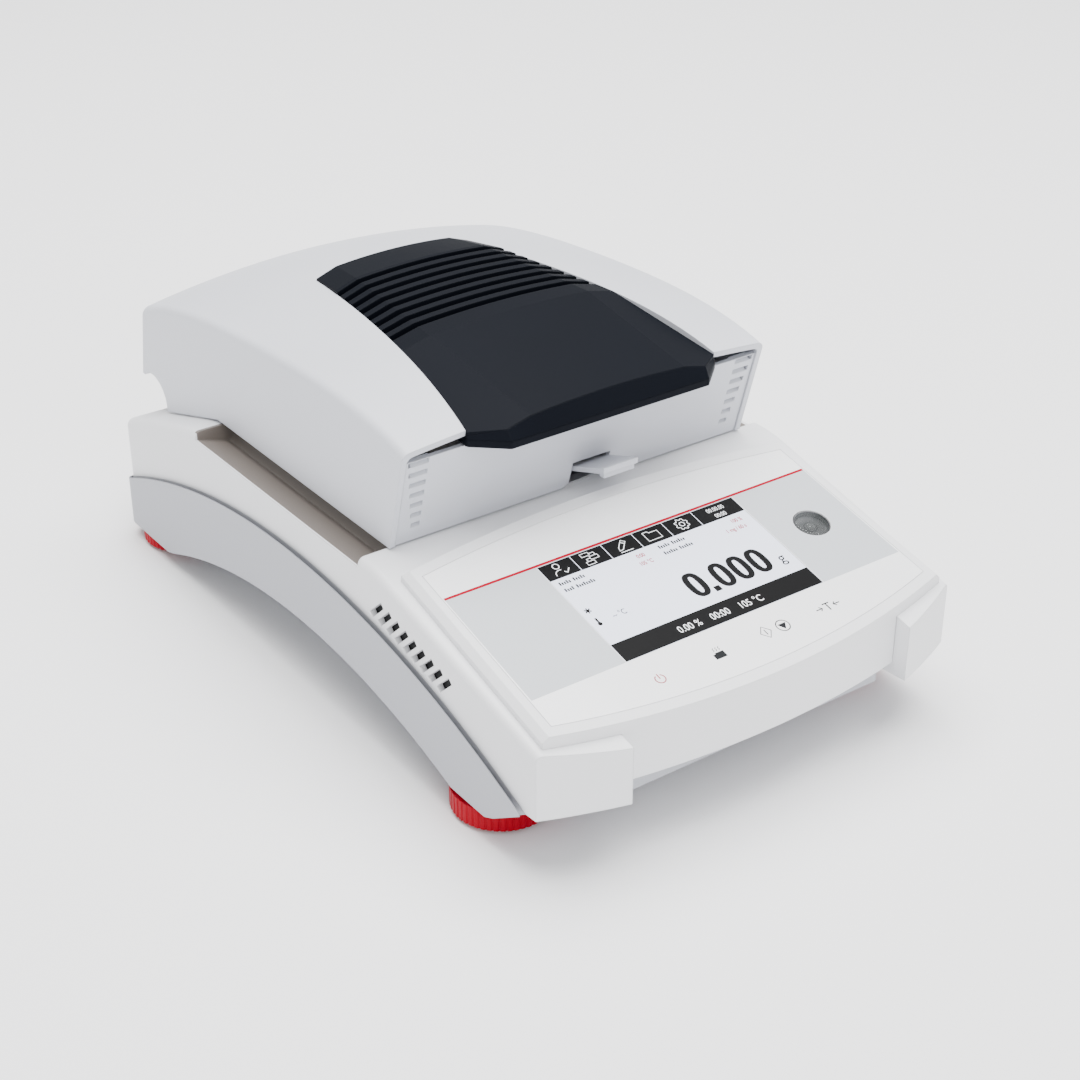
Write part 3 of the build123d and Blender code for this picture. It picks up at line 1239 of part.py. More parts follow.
with BuildPart() as glass_retainer:
    with BuildSketch(Plane.XY.offset(HEATER_BOTTOM_Z)):
        with Locations((0, CHAMBER_Y)):
            Circle(HEATER_RADIUS)
            Circle(GLASS_RADIUS - RETAINER_LIP, mode=Mode.SUBTRACT)
    extrude(amount=RETAINER_SHEET)
keep("glass_retainer", glass_retainer.part)

with BuildPart() as temperature_sensor:
    with BuildSketch(Plane.YZ.offset(RETAINER_LIP - GLASS_RADIUS)):
        with Locations((CHAMBER_Y, HEATER_BOTTOM_Z + RETAINER_SHEET / 2)):
            Circle(SENSOR_RADIUS)
    extrude(amount=SENSOR_LENGTH)
keep("temperature_sensor", temperature_sensor.part)

# Hinge: brackets on the deck, pins through them, and arms inside the hood
REAR_SLOPE = REAR_SLOPE_DROP / (REAR_Y + REAR_OVERRUN - REAR_SLOPE_TOP_Y)


def rear_deck_z(y):
    """Height of the sloping rear deck at the given Y."""
    return DECK_Z - REAR_SLOPE * (y - REAR_SLOPE_TOP_Y)


def hood_rear_y(z):
    """Y of the inner face of the rear wall of the hood at the given height."""
    return HOOD_REAR_Y - HOOD_WALL - HOOD_REAR_LEAN * (z - HOOD_REAR_BOTTOM_Z)


with BuildPart() as hinge_brackets:
    for arm_x in (-ARM_X, ARM_X):
        for side in (-1, 1):
            inner_x = arm_x + side * (ARM_WIDTH / 2 + ARM_SIDE_GAP)
            with BuildSketch(Plane.YZ.offset(inner_x)):
                with Locations((HINGE_Y, HINGE_Z)):
                    Circle(LUG_RADIUS)
                with BuildLine():
                    Polyline(
                        (LUG_FOOT_Y, rear_deck_z(LUG_FOOT_Y)),
                        (LUG_HEEL_Y, rear_deck_z(LUG_HEEL_Y)),
                        (HINGE_Y + LUG_RADIUS, HINGE_Z),
                        (HINGE_Y - LUG_RADIUS, HINGE_Z + 1),
                        (LUG_FOOT_Y, rear_deck_z(LUG_FOOT_Y) + 2),
                        (LUG_FOOT_Y, rear_deck_z(LUG_FOOT_Y)),
                    )
                make_face()
                with BuildLine():
                    Polyline(
                        (LUG_FOOT_Y, rear_deck_z(LUG_FOOT_Y)),
                        (REAR_Y, rear_deck_z(REAR_Y)),
                        (REAR_Y, HINGE_Z / 2),
                        (LUG_FOOT_Y, HINGE_Z / 2),
                        (LUG_FOOT_Y, rear_deck_z(LUG_FOOT_Y)),
                    )
                make_face(mode=Mode.SUBTRACT)
                with Locations((HINGE_Y, HINGE_Z)):
                    Circle(PIN_RADIUS, mode=Mode.SUBTRACT)
            extrude(amount=side * LUG_WIDTH)
keep("hinge_brackets", hinge_brackets.part)

with BuildPart() as hinge_pins:
    for arm_x in (-ARM_X, ARM_X):
        half_length = ARM_WIDTH / 2 + ARM_SIDE_GAP + LUG_WIDTH
        with BuildSketch(Plane.YZ.offset(arm_x - half_length)):
            with Locations((HINGE_Y, HINGE_Z)):
                Circle(PIN_RADIUS)
        extrude(amount=2 * half_length)
keep("hinge_pins", hinge_pins.part)

with BuildPart() as hinge_arms:
    for arm_x in (-ARM_X, ARM_X):
        with BuildSketch(Plane.YZ.offset(arm_x)):
            with Locations((HINGE_Y, HINGE_Z)):
                Circle(KNUCKLE_RADIUS)
            with BuildLine():
                low_z = HOOD_REAR_BOTTOM_Z + HOOD_WALL
                Polyline(
                    (HINGE_Y - KNUCKLE_RADIUS, HINGE_Z),
                    (HINGE_Y + KNUCKLE_RADIUS, HINGE_Z),
                    (hood_rear_y(low_z), low_z),
                    (hood_rear_y(ARM_TOP_Z), ARM_TOP_Z),
                    (HINGE_Y - ARM_REACH, ARM_TOP_Z),
                    (HINGE_Y - ARM_REACH, ARM_WAIST_Z),
                    (HINGE_Y - KNUCKLE_RADIUS, HINGE_Z),
                )
            make_face()
            with Locations((HINGE_Y, HINGE_Z)):
                Circle(PIN_RADIUS + PIN_GAP, mode=Mode.SUBTRACT)
        extrude(amount=ARM_WIDTH / 2, both=True)
keep("hinge_arms", hinge_arms.part)

# Fasteners: four housing screws from below, four lid screws in the hood
with BuildPart() as housing_screws:
    for boss_y in HOUSING_BOSS_YS:
        for boss_x in (-HOUSING_BOSS_X, HOUSING_BOSS_X):
            seat_z = HOUSING_BOSS_Z - HOUSING_BOSS_WALL
            with BuildSketch(Plane.XY.offset(seat_z - SCREW_HEAD_HEIGHT)):
                with Locations((boss_x, boss_y)):
                    Circle(SCREW_HEAD)
            extrude(amount=SCREW_HEAD_HEIGHT)
            with BuildSketch(Plane.XY.offset(seat_z)):
                with Locations((boss_x, boss_y)):
                    Circle(SCREW_RADIUS)
            extrude(amount=HOUSING_BOSS_WALL + SCREW_BITE)
keep("housing_screws", housing_screws.part)

with BuildPart() as lid_screws:
    for boss_y in (CHAMBER_Y - LID_BOSS_Y, CHAMBER_Y + LID_BOSS_Y):
        for boss_x in (-LID_BOSS_X, LID_BOSS_X):
            seat_z = HEATER_TOP_Z - HEATER_WALL
            with BuildSketch(Plane.XY.offset(seat_z - SCREW_HEAD_HEIGHT)):
                with Locations((boss_x, boss_y)):
                    Circle(SCREW_HEAD)
            extrude(amount=SCREW_HEAD_HEIGHT)
            with BuildSketch(Plane.XY.offset(seat_z)):
                with Locations((boss_x, boss_y)):
                    Circle(SCREW_RADIUS)
            extrude(amount=HEATER_WALL + SCREW_BITE)
keep("lid_screws", lid_screws.part)
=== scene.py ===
"""Looks of the halogen moisture analyzer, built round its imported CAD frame.

Lengths in the classes are millimetres unless a name says otherwise, and every
mesh is written in metres in the frame of the model: +X to the right of the
user, +Y to the rear, +Z up.
"""

from __future__ import annotations

import logging
import math
from dataclasses import dataclass
from enum import Enum
from typing import Any, Iterable, Sequence

import bmesh
import bpy
from mathutils import Matrix, Vector

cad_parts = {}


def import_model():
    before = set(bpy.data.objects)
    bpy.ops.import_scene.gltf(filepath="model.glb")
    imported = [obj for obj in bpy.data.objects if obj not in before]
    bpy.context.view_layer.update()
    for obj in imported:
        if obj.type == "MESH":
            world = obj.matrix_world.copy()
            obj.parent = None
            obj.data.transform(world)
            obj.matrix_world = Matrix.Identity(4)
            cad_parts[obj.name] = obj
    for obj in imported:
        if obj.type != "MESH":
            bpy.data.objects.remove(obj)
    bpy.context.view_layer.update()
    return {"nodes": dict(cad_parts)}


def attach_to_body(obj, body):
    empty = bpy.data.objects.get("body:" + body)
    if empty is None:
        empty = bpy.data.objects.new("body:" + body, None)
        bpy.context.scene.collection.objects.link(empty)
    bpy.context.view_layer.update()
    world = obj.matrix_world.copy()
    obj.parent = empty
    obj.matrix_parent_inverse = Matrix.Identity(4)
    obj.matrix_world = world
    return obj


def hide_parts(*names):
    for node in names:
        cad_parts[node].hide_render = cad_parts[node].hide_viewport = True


LOG = logging.getLogger("moisture_analyzer")
MM = 0.001
Point2 = tuple[float, float]
Point3 = tuple[float, float, float]
Colour = tuple[float, float, float]


class Body(str, Enum):
    """Names of the CAD bodies that pieces ride on."""

    BASE = "base"
    LID = "lid"


class Socket:
    """One output of a shader tree that arithmetic can be written on."""

    def __init__(self, tree: ShaderTree, link: Any) -> None:
        """Keep the socket and the tree that it belongs to.

        Args:
            tree: The tree that new nodes go into.
            link: The output socket of a node.
        """
        self.tree = tree
        self.link = link

    def _math(self, operation: str, first: Any, second: Any) -> Socket:
        """Add one Math node and return its result."""
        return self.tree.node("ShaderNodeMath", {"operation": operation}, {0: first, 1: second})

    def __add__(self, other: Any) -> Socket:
        """Sum of this value and another."""
        return self._math("ADD", self, other)

    def __radd__(self, other: Any) -> Socket:
        """Sum of a number and this value."""
        return self._math("ADD", other, self)

    def __sub__(self, other: Any) -> Socket:
        """Difference of this value and another."""
        return self._math("SUBTRACT", self, other)

    def __rsub__(self, other: Any) -> Socket:
        """Difference of a number and this value."""
        return self._math("SUBTRACT", other, self)

    def __mul__(self, other: Any) -> Socket:
        """Product of this value and another."""
        return self._math("MULTIPLY", self, other)

    def __rmul__(self, other: Any) -> Socket:
        """Product of a number and this value."""
        return self._math("MULTIPLY", other, self)

    def __truediv__(self, other: Any) -> Socket:
        """Quotient of this value and another."""
        return self._math("DIVIDE", self, other)


class ShaderTree:
    """Node tree of one material."""

    def __init__(self, name: str) -> None:
        """Make an empty material.

        Args:
            name: Name of the material.
        """
        self.material = bpy.data.materials.new(name)
        self.material.use_nodes = True
        self.nodes = self.material.node_tree.nodes
        self.links = self.material.node_tree.links
        self.nodes.clear()

    def node(
        self,
        kind: str,
        settings: dict[str, Any] | None = None,
        inputs: dict[Any, Any] | None = None,
        output: Any = 0,
    ) -> Socket:
        """Add a node, set it up and join its sockets.

        Args:
            kind: Type name of the node.
            settings: Attributes of the node, set first.
            inputs: Values or sockets by input name or index.
            output: Name or index of the output to return.

        Returns:
            The chosen output.
        """
        made = self.nodes.new(kind)
        for key, value in (settings or {}).items():
            setattr(made, key, value)
        for key, value in (inputs or {}).items():
            if isinstance(value, Socket):
                self.links.new(value.link, made.inputs[key])
            else:
                made.inputs[key].default_value = value
        outputs = made.outputs
        return Socket(self, outputs[output]) if len(outputs) else Socket(self, None)

    def ramp(self, factor: Socket, stops: Sequence[tuple[float, Sequence[float]]]) -> Socket:
        """Add a colour ramp.

        Args:
            factor: Value that the ramp reads.
            stops: Position and colour of each stop.

        Returns:
            The colour output.
        """
        made = self.nodes.new("ShaderNodeValToRGB")
        elements = made.color_ramp.elements
        while len(elements) < len(stops):
            elements.new(1.0)
        for element, (position, colour) in zip(elements, stops):
            element.position = position
            element.color = colour
        self.links.new(factor.link, made.inputs["Fac"])
        return Socket(self, made.outputs["Color"])

    def object_point(self, scale: Sequence[float] = (1.0, 1.0, 1.0)) -> Socket:
        """Object coordinates, stretched along the axes.

        Args:
            scale: Factor along each axis.

        Returns:
            The vector output.
        """
        point = self.node("ShaderNodeTexCoord", output="Object")
        return self.node(
            "ShaderNodeMapping",
            {"vector_type": "POINT"},
            {"Vector": point, "Scale": tuple(scale)},
        )

    def from_point(self, centre: Point3) -> Socket:
        """Object coordinates counted from a point.

        Args:
            centre: The point, in metres.

        Returns:
            The vector output.
        """
        point = self.node("ShaderNodeTexCoord", output="Object")
        return self.node("ShaderNodeVectorMath", {"operation": "SUBTRACT"}, {0: point, 1: centre})

    def noise(self, point: Socket, scale: float, detail: float = 2.0) -> Socket:
        """Value of a noise texture at a point.

        Args:
            point: Coordinates.
            scale: Cells per metre.
            detail: Octaves.

        Returns:
            The factor output.
        """
        return self.node(
            "ShaderNodeTexNoise",
            {"noise_dimensions": "3D"},
            {"Vector": point, "Scale": scale, "Detail": detail},
            "Fac",
        )

    def mix(self, factor: Any, low: Any, high: Any) -> Socket:
        """Blend two colours.

        Args:
            factor: Share of the second colour.
            low: First colour or socket.
            high: Second colour or socket.

        Returns:
            The blended colour.
        """
        made = self.nodes.new("ShaderNodeMix")
        made.data_type = "RGBA"
        for socket, value in ((made.inputs[0], factor), (made.inputs[6], low), (made.inputs[7], high)):
            if isinstance(value, Socket):
                self.links.new(value.link, socket)
            else:
                socket.default_value = value
        return Socket(self, made.outputs[2])

    def mottled(self, factor: Any, colour: Colour, tones: Point2) -> Socket:
        """Blend a darker and a lighter tone of one colour.

        Args:
            factor: Share of the lighter tone.
            colour: The colour.
            tones: Brightness of the darker and of the lighter tone.

        Returns:
            The blended colour.
        """
        return self.mix(factor, shade(colour, tones[0]), shade(colour, tones[1]))

    def rounded(self, radius: float, height: Socket, distance: float) -> Socket:
        """Normal with softened edges and a surface grain.

        Args:
            radius: Radius of the softened edges, in metres.
            height: Height of the grain.
            distance: Depth of the grain, in metres.

        Returns:
            The normal output.
        """
        soft = self.node("ShaderNodeBevel", {"samples": 6}, {"Radius": radius})
        return self.node(
            "ShaderNodeBump",
            {},
            {"Strength": 1.0, "Distance": distance, "Height": height, "Normal": soft},
        )

    def surface(self, inputs: dict[str, Any]) -> bpy.types.Material:
        """Add the main shader and join it to the output.

        Args:
            inputs: Values or sockets by input name.

        Returns:
            The finished material.
        """
        shader = self.node("ShaderNodeBsdfPrincipled", {}, inputs)
        self.node("ShaderNodeOutputMaterial", {}, {"Surface": shader})
        return self.material


def shade(colour: Sequence[float], factor: float) -> tuple[float, float, float, float]:
    """Colour with its brightness multiplied by a factor."""
    red, green, blue = (min(1.0, part * factor) for part in colour[:3])
    return (red, green, blue, 1.0)


@dataclass(frozen=True)
class PaintedShadeBox:
    """Two mirrored hollows, given as a box in metres, where a darker colour is painted on another finish as
    shade.
    """

    # Colour of the painted shade.
    colour: Colour
    out_x: Point2
    y: Point2
    z: Point2

    def share(self, tree: ShaderTree) -> Socket:
        """Share of the painted shade's colour at a point.

        Args:
            tree: Tree of the material.

        Returns:
            One inside either box and nought outside.
        """
        point = tree.node("ShaderNodeTexCoord", output="Object")
        inside = None
        for axis, (low, high) in (("X", self.out_x), ("Y", self.y), ("Z", self.z)):
            value = tree.node("ShaderNodeSeparateXYZ", {}, {0: point}, axis)
            if axis == "X":
                value = tree.node("ShaderNodeMath", {"operation": "ABSOLUTE"}, {0: value})
            above = tree.node("ShaderNodeMath", {"operation": "GREATER_THAN"}, {0: value, 1: low})
            below = tree.node("ShaderNodeMath", {"operation": "LESS_THAN"}, {0: value, 1: high})
            inside = above * below if inside is None else inside * above * below
        return inside


@dataclass(frozen=True)
class MouldedPlastic:
    """Moulded plastic with a fine spark-eroded grain, faint mottling and, where given, a box of painted
    shade.
    """

    name: str
    colour: Colour
    roughness: float = 0.42
    grain_scale: float = 2600.0
    grain_depth: float = 0.00002
    mottle: float = 0.03
    edge_radius: float = 0.0007
    coat: float = 0.0
    specular: float = 0.5
    painted_shade: PaintedShadeBox | None = None
    patch_scale: float = 22.0
    grain_sway: float = 0.08
    patch_sway: float = 0.10

    def make(self) -> bpy.types.Material:
        """Build the material.

        Returns:
            The new material.
        """
        tree = ShaderTree(self.name)
        point = tree.object_point()
        patch = tree.noise(point, self.patch_scale, 3.0)
        grain = tree.noise(point, self.grain_scale, 2.0)
        colour = tree.mottled(patch, self.colour, (1.0 - self.mottle, 1.0 + self.mottle))
        # Painted shade: the colour is darkened inside the box, standing in for the shadow in the hollow.
        if self.painted_shade:
            colour = tree.mix(self.painted_shade.share(tree), colour, shade(self.painted_shade.colour, 1.0))
        rough = self.roughness + (grain - 0.5) * self.grain_sway + (patch - 0.5) * self.patch_sway
        return tree.surface(
            {
                "Base Color": colour,
                "Roughness": rough,
                "Coat Weight": self.coat,
                "Specular IOR Level": self.specular,
                "Normal": tree.rounded(self.edge_radius, grain, self.grain_depth),
            }
        )


@dataclass(frozen=True)
class RibbedPlastic:
    """Coloured plastic of a knurled wheel, with scuffs from handling."""

    name: str
    colour: Colour
    roughness: float = 0.35
    specular: float = 0.3
    patch_scale: float = 60.0
    scuff_scale: float = 900.0
    scuff_sway: float = 0.25
    scuff_depth: float = 0.00002
    edge_radius: float = 0.0003
    tones: Point2 = (0.88, 1.1)

    def make(self) -> bpy.types.Material:
        """Build the material.

        Returns:
            The new material.
        """
        tree = ShaderTree(self.name)
        point = tree.object_point()
        patch = tree.noise(point, self.patch_scale, 3.0)
        scuff = tree.noise(point, self.scuff_scale, 4.0)
        colour = tree.mottled(patch, self.colour, self.tones)
        return tree.surface(
            {
                "Base Color": colour,
                "Roughness": self.roughness + (scuff - 0.5) * self.scuff_sway,
                "Specular IOR Level": self.specular,
                "Normal": tree.rounded(self.edge_radius, scuff, self.scuff_depth),
            }
        )


@dataclass(frozen=True)
class SheetMetal:
    """Metal with fine lines along one axis, or an even blasted face."""

    name: str
    colour: Colour
    roughness: float = 0.3
    lines: Point3 = (40.0, 2200.0, 2200.0)
    depth: float = 0.00001
    patch_scale: float = 35.0
    line_sway: float = 0.22
    edge_radius: float = 0.0003
    tones: Point2 = (0.92, 1.06)

    def make(self) -> bpy.types.Material:
        """Build the material.

        Returns:
            The new material.
        """
        tree = ShaderTree(self.name)
        stroke = tree.noise(tree.object_point(self.lines), 1.0, 3.0)
        patch = tree.noise(tree.object_point(), self.patch_scale, 2.0)
        colour = tree.mottled(patch, self.colour, self.tones)
        return tree.surface(
            {
                "Base Color": colour,
                "Metallic": 1.0,
                "Roughness": self.roughness + (stroke - 0.5) * self.line_sway,
                "Normal": tree.rounded(self.edge_radius, stroke, self.depth),
            }
        )


@dataclass(frozen=True)
class TurnedMetal:
    """Pressed foil or turned metal with rings about a vertical axis."""

    name: str
    colour: Colour
    centre: Point2
    roughness: float = 0.25
    rings: float = 1600.0
    ring_depth: float = 0.000004
    patch_scale: float = 80.0
    patch_sway: float = 0.15
    edge_radius: float = 0.0002
    tones: Point2 = (0.93, 1.05)

    def make(self) -> bpy.types.Material:
        """Build the material.

        Returns:
            The new material.
        """
        tree = ShaderTree(self.name)
        point = tree.node("ShaderNodeTexCoord", output="Object")
        place = (-self.centre[0], -self.centre[1], 0.0)
        moved = tree.node(
            "ShaderNodeMapping",
            {"vector_type": "POINT"},
            {"Vector": point, "Location": place, "Scale": (1.0, 1.0, 0.0)},
        )
        radius = tree.node("ShaderNodeVectorMath", {"operation": "LENGTH"}, {0: moved}, "Value")
        wave = tree.node("ShaderNodeMath", {"operation": "SINE"}, {0: radius * (self.rings * math.tau)})
        patch = tree.noise(tree.object_point(), self.patch_scale, 3.0)
        return tree.surface(
            {
                "Base Color": tree.mottled(patch, self.colour, self.tones),
                "Metallic": 1.0,
                "Roughness": self.roughness + (patch - 0.5) * self.patch_sway,
                "Normal": tree.rounded(self.edge_radius, wave, self.ring_depth),
            }
        )


@dataclass(frozen=True)
class PrintedInk:
    """Thin printed ink with a slightly uneven sheen."""

    name: str
    colour: Colour
    roughness: float = 0.3
    glow: float = 0.0
    specular: float = 0.3
    speckle_scale: float = 1800.0
    speckle_sway: float = 0.08
    tones: Point2 = (0.96, 1.04)

    def make(self) -> bpy.types.Material:
        """Build the material.

        Returns:
            The new material.
        """
        tree = ShaderTree(self.name)
        speckle = tree.noise(tree.object_point(), self.speckle_scale, 2.0)
        colour = tree.mottled(speckle, self.colour, self.tones)
        return tree.surface(
            {
                "Base Color": colour,
                "Roughness": self.roughness + (speckle - 0.5) * self.speckle_sway,
                "Specular IOR Level": self.specular,
                "Emission Color": colour,
                "Emission Strength": self.glow,
            }
        )


@dataclass(frozen=True)
class LitScreen:
    """Backlit field of a display, a little brighter towards its middle."""

    name: str
    colour: Colour
    centre: Point3
    half_width: float
    strength: float
    roughness: float = 0.22
    fine_scale: float = 3000.0
    fine_sway: float = 0.05
    tones: Point2 = (1.02, 0.96)

    def make(self) -> bpy.types.Material:
        """Build the material.

        Returns:
            The new material.
        """
        tree = ShaderTree(self.name)
        away = tree.from_point(self.centre)
        reach = tree.node("ShaderNodeVectorMath", {"operation": "LENGTH"}, {0: away}, "Value")
        share = reach / self.half_width
        fine = tree.noise(tree.object_point(), self.fine_scale, 1.0)
        fade = share * 0.5 + fine * 0.06
        colour = tree.mottled(fade, self.colour, self.tones)
        return tree.surface(
            {
                "Base Color": colour,
                "Roughness": self.roughness + fine * self.fine_sway,
                "Emission Color": colour,
                "Emission Strength": self.strength,
            }
        )


@dataclass(frozen=True)
class ClearGlass:
    """Clear glass with a faint haze of handling marks."""

    name: str
    colour: Colour = (0.95, 0.97, 0.97)
    alpha: float = 0.35
    coat: float = 0.4
    refraction: float = 1.5
    roughness: float = 0.03
    haze_scale: float = 120.0
    haze_sway: float = 0.06

    def make(self) -> bpy.types.Material:
        """Build the material.

        Returns:
            The new material.
        """
        tree = ShaderTree(self.name)
        haze = tree.noise(tree.object_point(), self.haze_scale, 4.0)
        return tree.surface(
            {
                "Base Color": shade(self.colour, 1.0),
                "Roughness": self.roughness + haze * self.haze_sway,
                "Alpha": self.alpha + (haze - 0.5) * self.haze_sway,
                "IOR": self.refraction,
                "Coat Weight": self.coat,
            }
        )


@dataclass(frozen=True)
class LevelDish:
    """Dark dish of the spirit level, with the light from its far side painted into its colour."""

    name: str
    centre: Point3
    radius: float
    haze_scale: float = 260.0
    roughness: float = 0.25
    # Painted light: darkest a little before the middle, lightest at the rear rim.
    stops: tuple[tuple[float, Colour], ...] = (
        (0.0, (0.04, 0.042, 0.045)),
        (0.45, (0.010, 0.011, 0.012)),
        (0.7, (0.03, 0.032, 0.035)),
        (1.0, (0.13, 0.135, 0.145)),
    )

    def make(self) -> bpy.types.Material:
        """Build the material.

        Returns:
            The new material.
        """
        tree = ShaderTree(self.name)
        along = tree.node("ShaderNodeSeparateXYZ", {}, {0: tree.from_point(self.centre)}, "Y")
        share = along / (2.0 * self.radius) + 0.5
        haze = tree.noise(tree.object_point(), self.haze_scale, 3.0)
        stops = [(position, shade(colour, 1.0)) for position, colour in self.stops]
        colour = tree.ramp(share + (haze - 0.5) * 0.08, stops)
        return tree.surface({"Base Color": colour, "Roughness": self.roughness + haze * 0.1})


CHAMBER = (0.0, 0.025)
# Painted shade in the scoop along each side of the hood, which lies in the hood's shadow.
SCOOP_PAINTED_SHADE = PaintedShadeBox((0.17, 0.148, 0.132), (0.084, 0.102), (-0.042, 0.096), (0.066, 0.0835))
FINISHES: dict[str, Any] = {
    "housing": MouldedPlastic("housing_white", (0.80, 0.805, 0.825), 0.45, painted_shade=SCOOP_PAINTED_SHADE),
    "hood": MouldedPlastic("hood_white", (0.60, 0.615, 0.665), 0.40),
    "band": MouldedPlastic("band_grey", (0.40, 0.41, 0.445), 0.5),
    "film": MouldedPlastic("film_white", (0.93, 0.935, 0.95), 0.26, 3000.0, 0.000004, 0.01, 0.0003, 0.25),
    "key": MouldedPlastic("key_white", (0.90, 0.905, 0.92), 0.30, 3000.0, 0.000004, 0.01, 0.0005, 0.2),
    "cover": MouldedPlastic("cover_black", (0.0035, 0.0045, 0.0075), 0.5, mottle=0.15, specular=0.05),
    # Black of the level holder and the key switches, and painted shade on the sheets behind the side vents.
    "dark": MouldedPlastic("black_and_painted_shade", (0.006, 0.006, 0.007), 0.6, specular=0.2),
    "socket": MouldedPlastic("socket_black", (0.02, 0.02, 0.022), 0.45),
    "pad": MouldedPlastic("pad_rubber", (0.03, 0.03, 0.032), 0.75, 1500.0, 0.00005, 0.2),
    "board": MouldedPlastic("board_green", (0.02, 0.14, 0.07), 0.4),
    "red": RibbedPlastic("wheel_red", (0.36, 0.0, 0.012), 0.36, 0.08),
    "steel": SheetMetal("brushed_steel", (0.60, 0.60, 0.61), 0.32),
    "zinc": SheetMetal("zinc_plate", (0.55, 0.55, 0.56), 0.38, (300.0, 300.0, 300.0)),
    "alloy": SheetMetal("milled_alloy", (0.72, 0.73, 0.74), 0.35),
    "foil": TurnedMetal("pan_foil", (0.86, 0.86, 0.87), CHAMBER, 0.22),
    "mirror": TurnedMetal("reflector_mirror", (0.90, 0.89, 0.86), CHAMBER, 0.12),
    "tray": TurnedMetal("tray_steel", (0.62, 0.62, 0.63), CHAMBER, 0.34, 900.0),
    "glass": ClearGlass("window_glass"),
    "level_glass": ClearGlass("level_glass", (0.30, 0.32, 0.32), 0.06, 0.0),
    "lamp": ClearGlass("lamp_quartz", (0.95, 0.93, 0.90), 0.4),
    "filament": SheetMetal("filament_wire", (0.35, 0.33, 0.32), 0.4),
    "ink_dark": PrintedInk("ink_dark", (0.010, 0.011, 0.013), 0.4, 0.0, 0.1),
    "ink_red": PrintedInk("ink_red", (0.34, 0.0, 0.018), 0.35, 0.0, 0.05),
    "ink_grey": PrintedInk("ink_grey", (0.52, 0.545, 0.575), 0.32),
    "lcd_black": PrintedInk("lcd_black", (0.0015, 0.0015, 0.002), 0.4, 0.0, 0.1),
    "lcd_dark": PrintedInk("lcd_dark", (0.002, 0.002, 0.0025), 0.4, 0.0, 0.1),
    "lcd_red": PrintedInk("lcd_red", (0.40, 0.0, 0.01), 0.35, 0.0, 0.05),
    "lcd_white": PrintedInk("lcd_white", (0.86, 0.87, 0.90), 0.3, 0.35, 0.2),
}


class Paintbox:
    """Makes each finish once and hands it out by name."""

    def __init__(self) -> None:
        """Start with no finish made."""
        self.made: dict[str, bpy.types.Material] = {}

    def get(self, name: str) -> bpy.types.Material:
        """Return the material of a finish.

        Args:
            name: Key of the finish.

        Returns:
            The material.
        """
        if name not in self.made:
            self.made[name] = FINISHES[name].make()
        return self.made[name]

    def dress(self, piece: bpy.types.Object, name: str) -> None:
        """Give a piece one finish all over.

        Args:
            piece: Object to dress.
            name: Key of the finish.
        """
        piece.data.materials.clear()
        piece.data.materials.append(self.get(name))


def link_mesh(name: str, mesh: bpy.types.Mesh) -> bpy.types.Object:
    """Put a mesh in the scene as an object of its own at the origin.

    Args:
        name: Name of the object.
        mesh: Mesh in metres.

    Returns:
        The new object.
    """
    made = bpy.data.objects.new(name, mesh)
    bpy.context.scene.collection.objects.link(made)
    return made


def mesh_from(name: str, source: bmesh.types.BMesh, smooth_angle: float = 35.0) -> bpy.types.Object:
    """Turn a bmesh into an object with outward normals.

    Args:
        name: Name of the object.
        source: The bmesh, which is freed.
        smooth_angle: Faces meeting at less than this angle, in degrees, shade smooth.

    Returns:
        The new object.
    """
    bmesh.ops.recalc_face_normals(source, faces=source.faces)
    mesh = bpy.data.meshes.new(name)
    source.to_mesh(mesh)
    source.free()
    mesh.shade_smooth()
    mesh.set_sharp_from_angle(angle=math.radians(smooth_angle))
    return link_mesh(name, mesh)


def bridge(shape: bmesh.types.BMesh, first: Sequence[Any], second: Sequence[Any]) -> None:
    """Join two loops of as many vertices by a band of faces.

    Args:
        shape: The bmesh that holds the vertices.
        first: Vertices of one loop, in order.
        second: Vertices of the other loop, in the same order.
    """
    for index in range(len(first)):
        following = (index + 1) % len(first)
        shape.faces.new((first[index], first[following], second[following], second[index]))


def lofted(name: str, sections: Sequence[Sequence[Point3]], smooth_angle: float = 35.0) -> bpy.types.Object:
    """Closed solid through a row of sections with as many corners each.

    Args:
        name: Name of the object.
        sections: Corners in millimetres, in the same order in each section.
        smooth_angle: Faces meeting at less than this angle, in degrees, shade smooth.

    Returns:
        The new object.
    """
    shape = bmesh.new()
    rings = [[shape.verts.new(Vector(corner) * MM) for corner in section] for section in sections]
    for first, second in zip(rings, rings[1:]):
        bridge(shape, first, second)
    shape.faces.new(rings[0])
    shape.faces.new(rings[-1][::-1])
    return mesh_from(name, shape, smooth_angle)


def settle(piece: bpy.types.Object) -> bpy.types.Object:
    """Replace a piece's modifiers by the mesh that they give.

    Args:
        piece: Object with modifiers.

    Returns:
        The same object, with a plain mesh.
    """
    evaluated = piece.evaluated_get(bpy.context.evaluated_depsgraph_get())
    mesh = bpy.data.meshes.new_from_object(evaluated)
    piece.modifiers.clear()
    piece.data = mesh
    return piece


def attach(piece: bpy.types.Object, body: Body, slot: str, *nodes: str) -> None:
    """Tie a finished piece to the frame and report it.

    Args:
        piece: Finished piece.
        body: Body that it rides on.
        slot: Material slot of the record that it belongs to; not used.
        nodes: CAD nodes that it stands for.
    """
    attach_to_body(piece, body.value)
    if nodes:
        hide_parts(*nodes)
    LOG.info("%s rides on %s with %d faces", piece.name, body.value, len(piece.data.polygons))


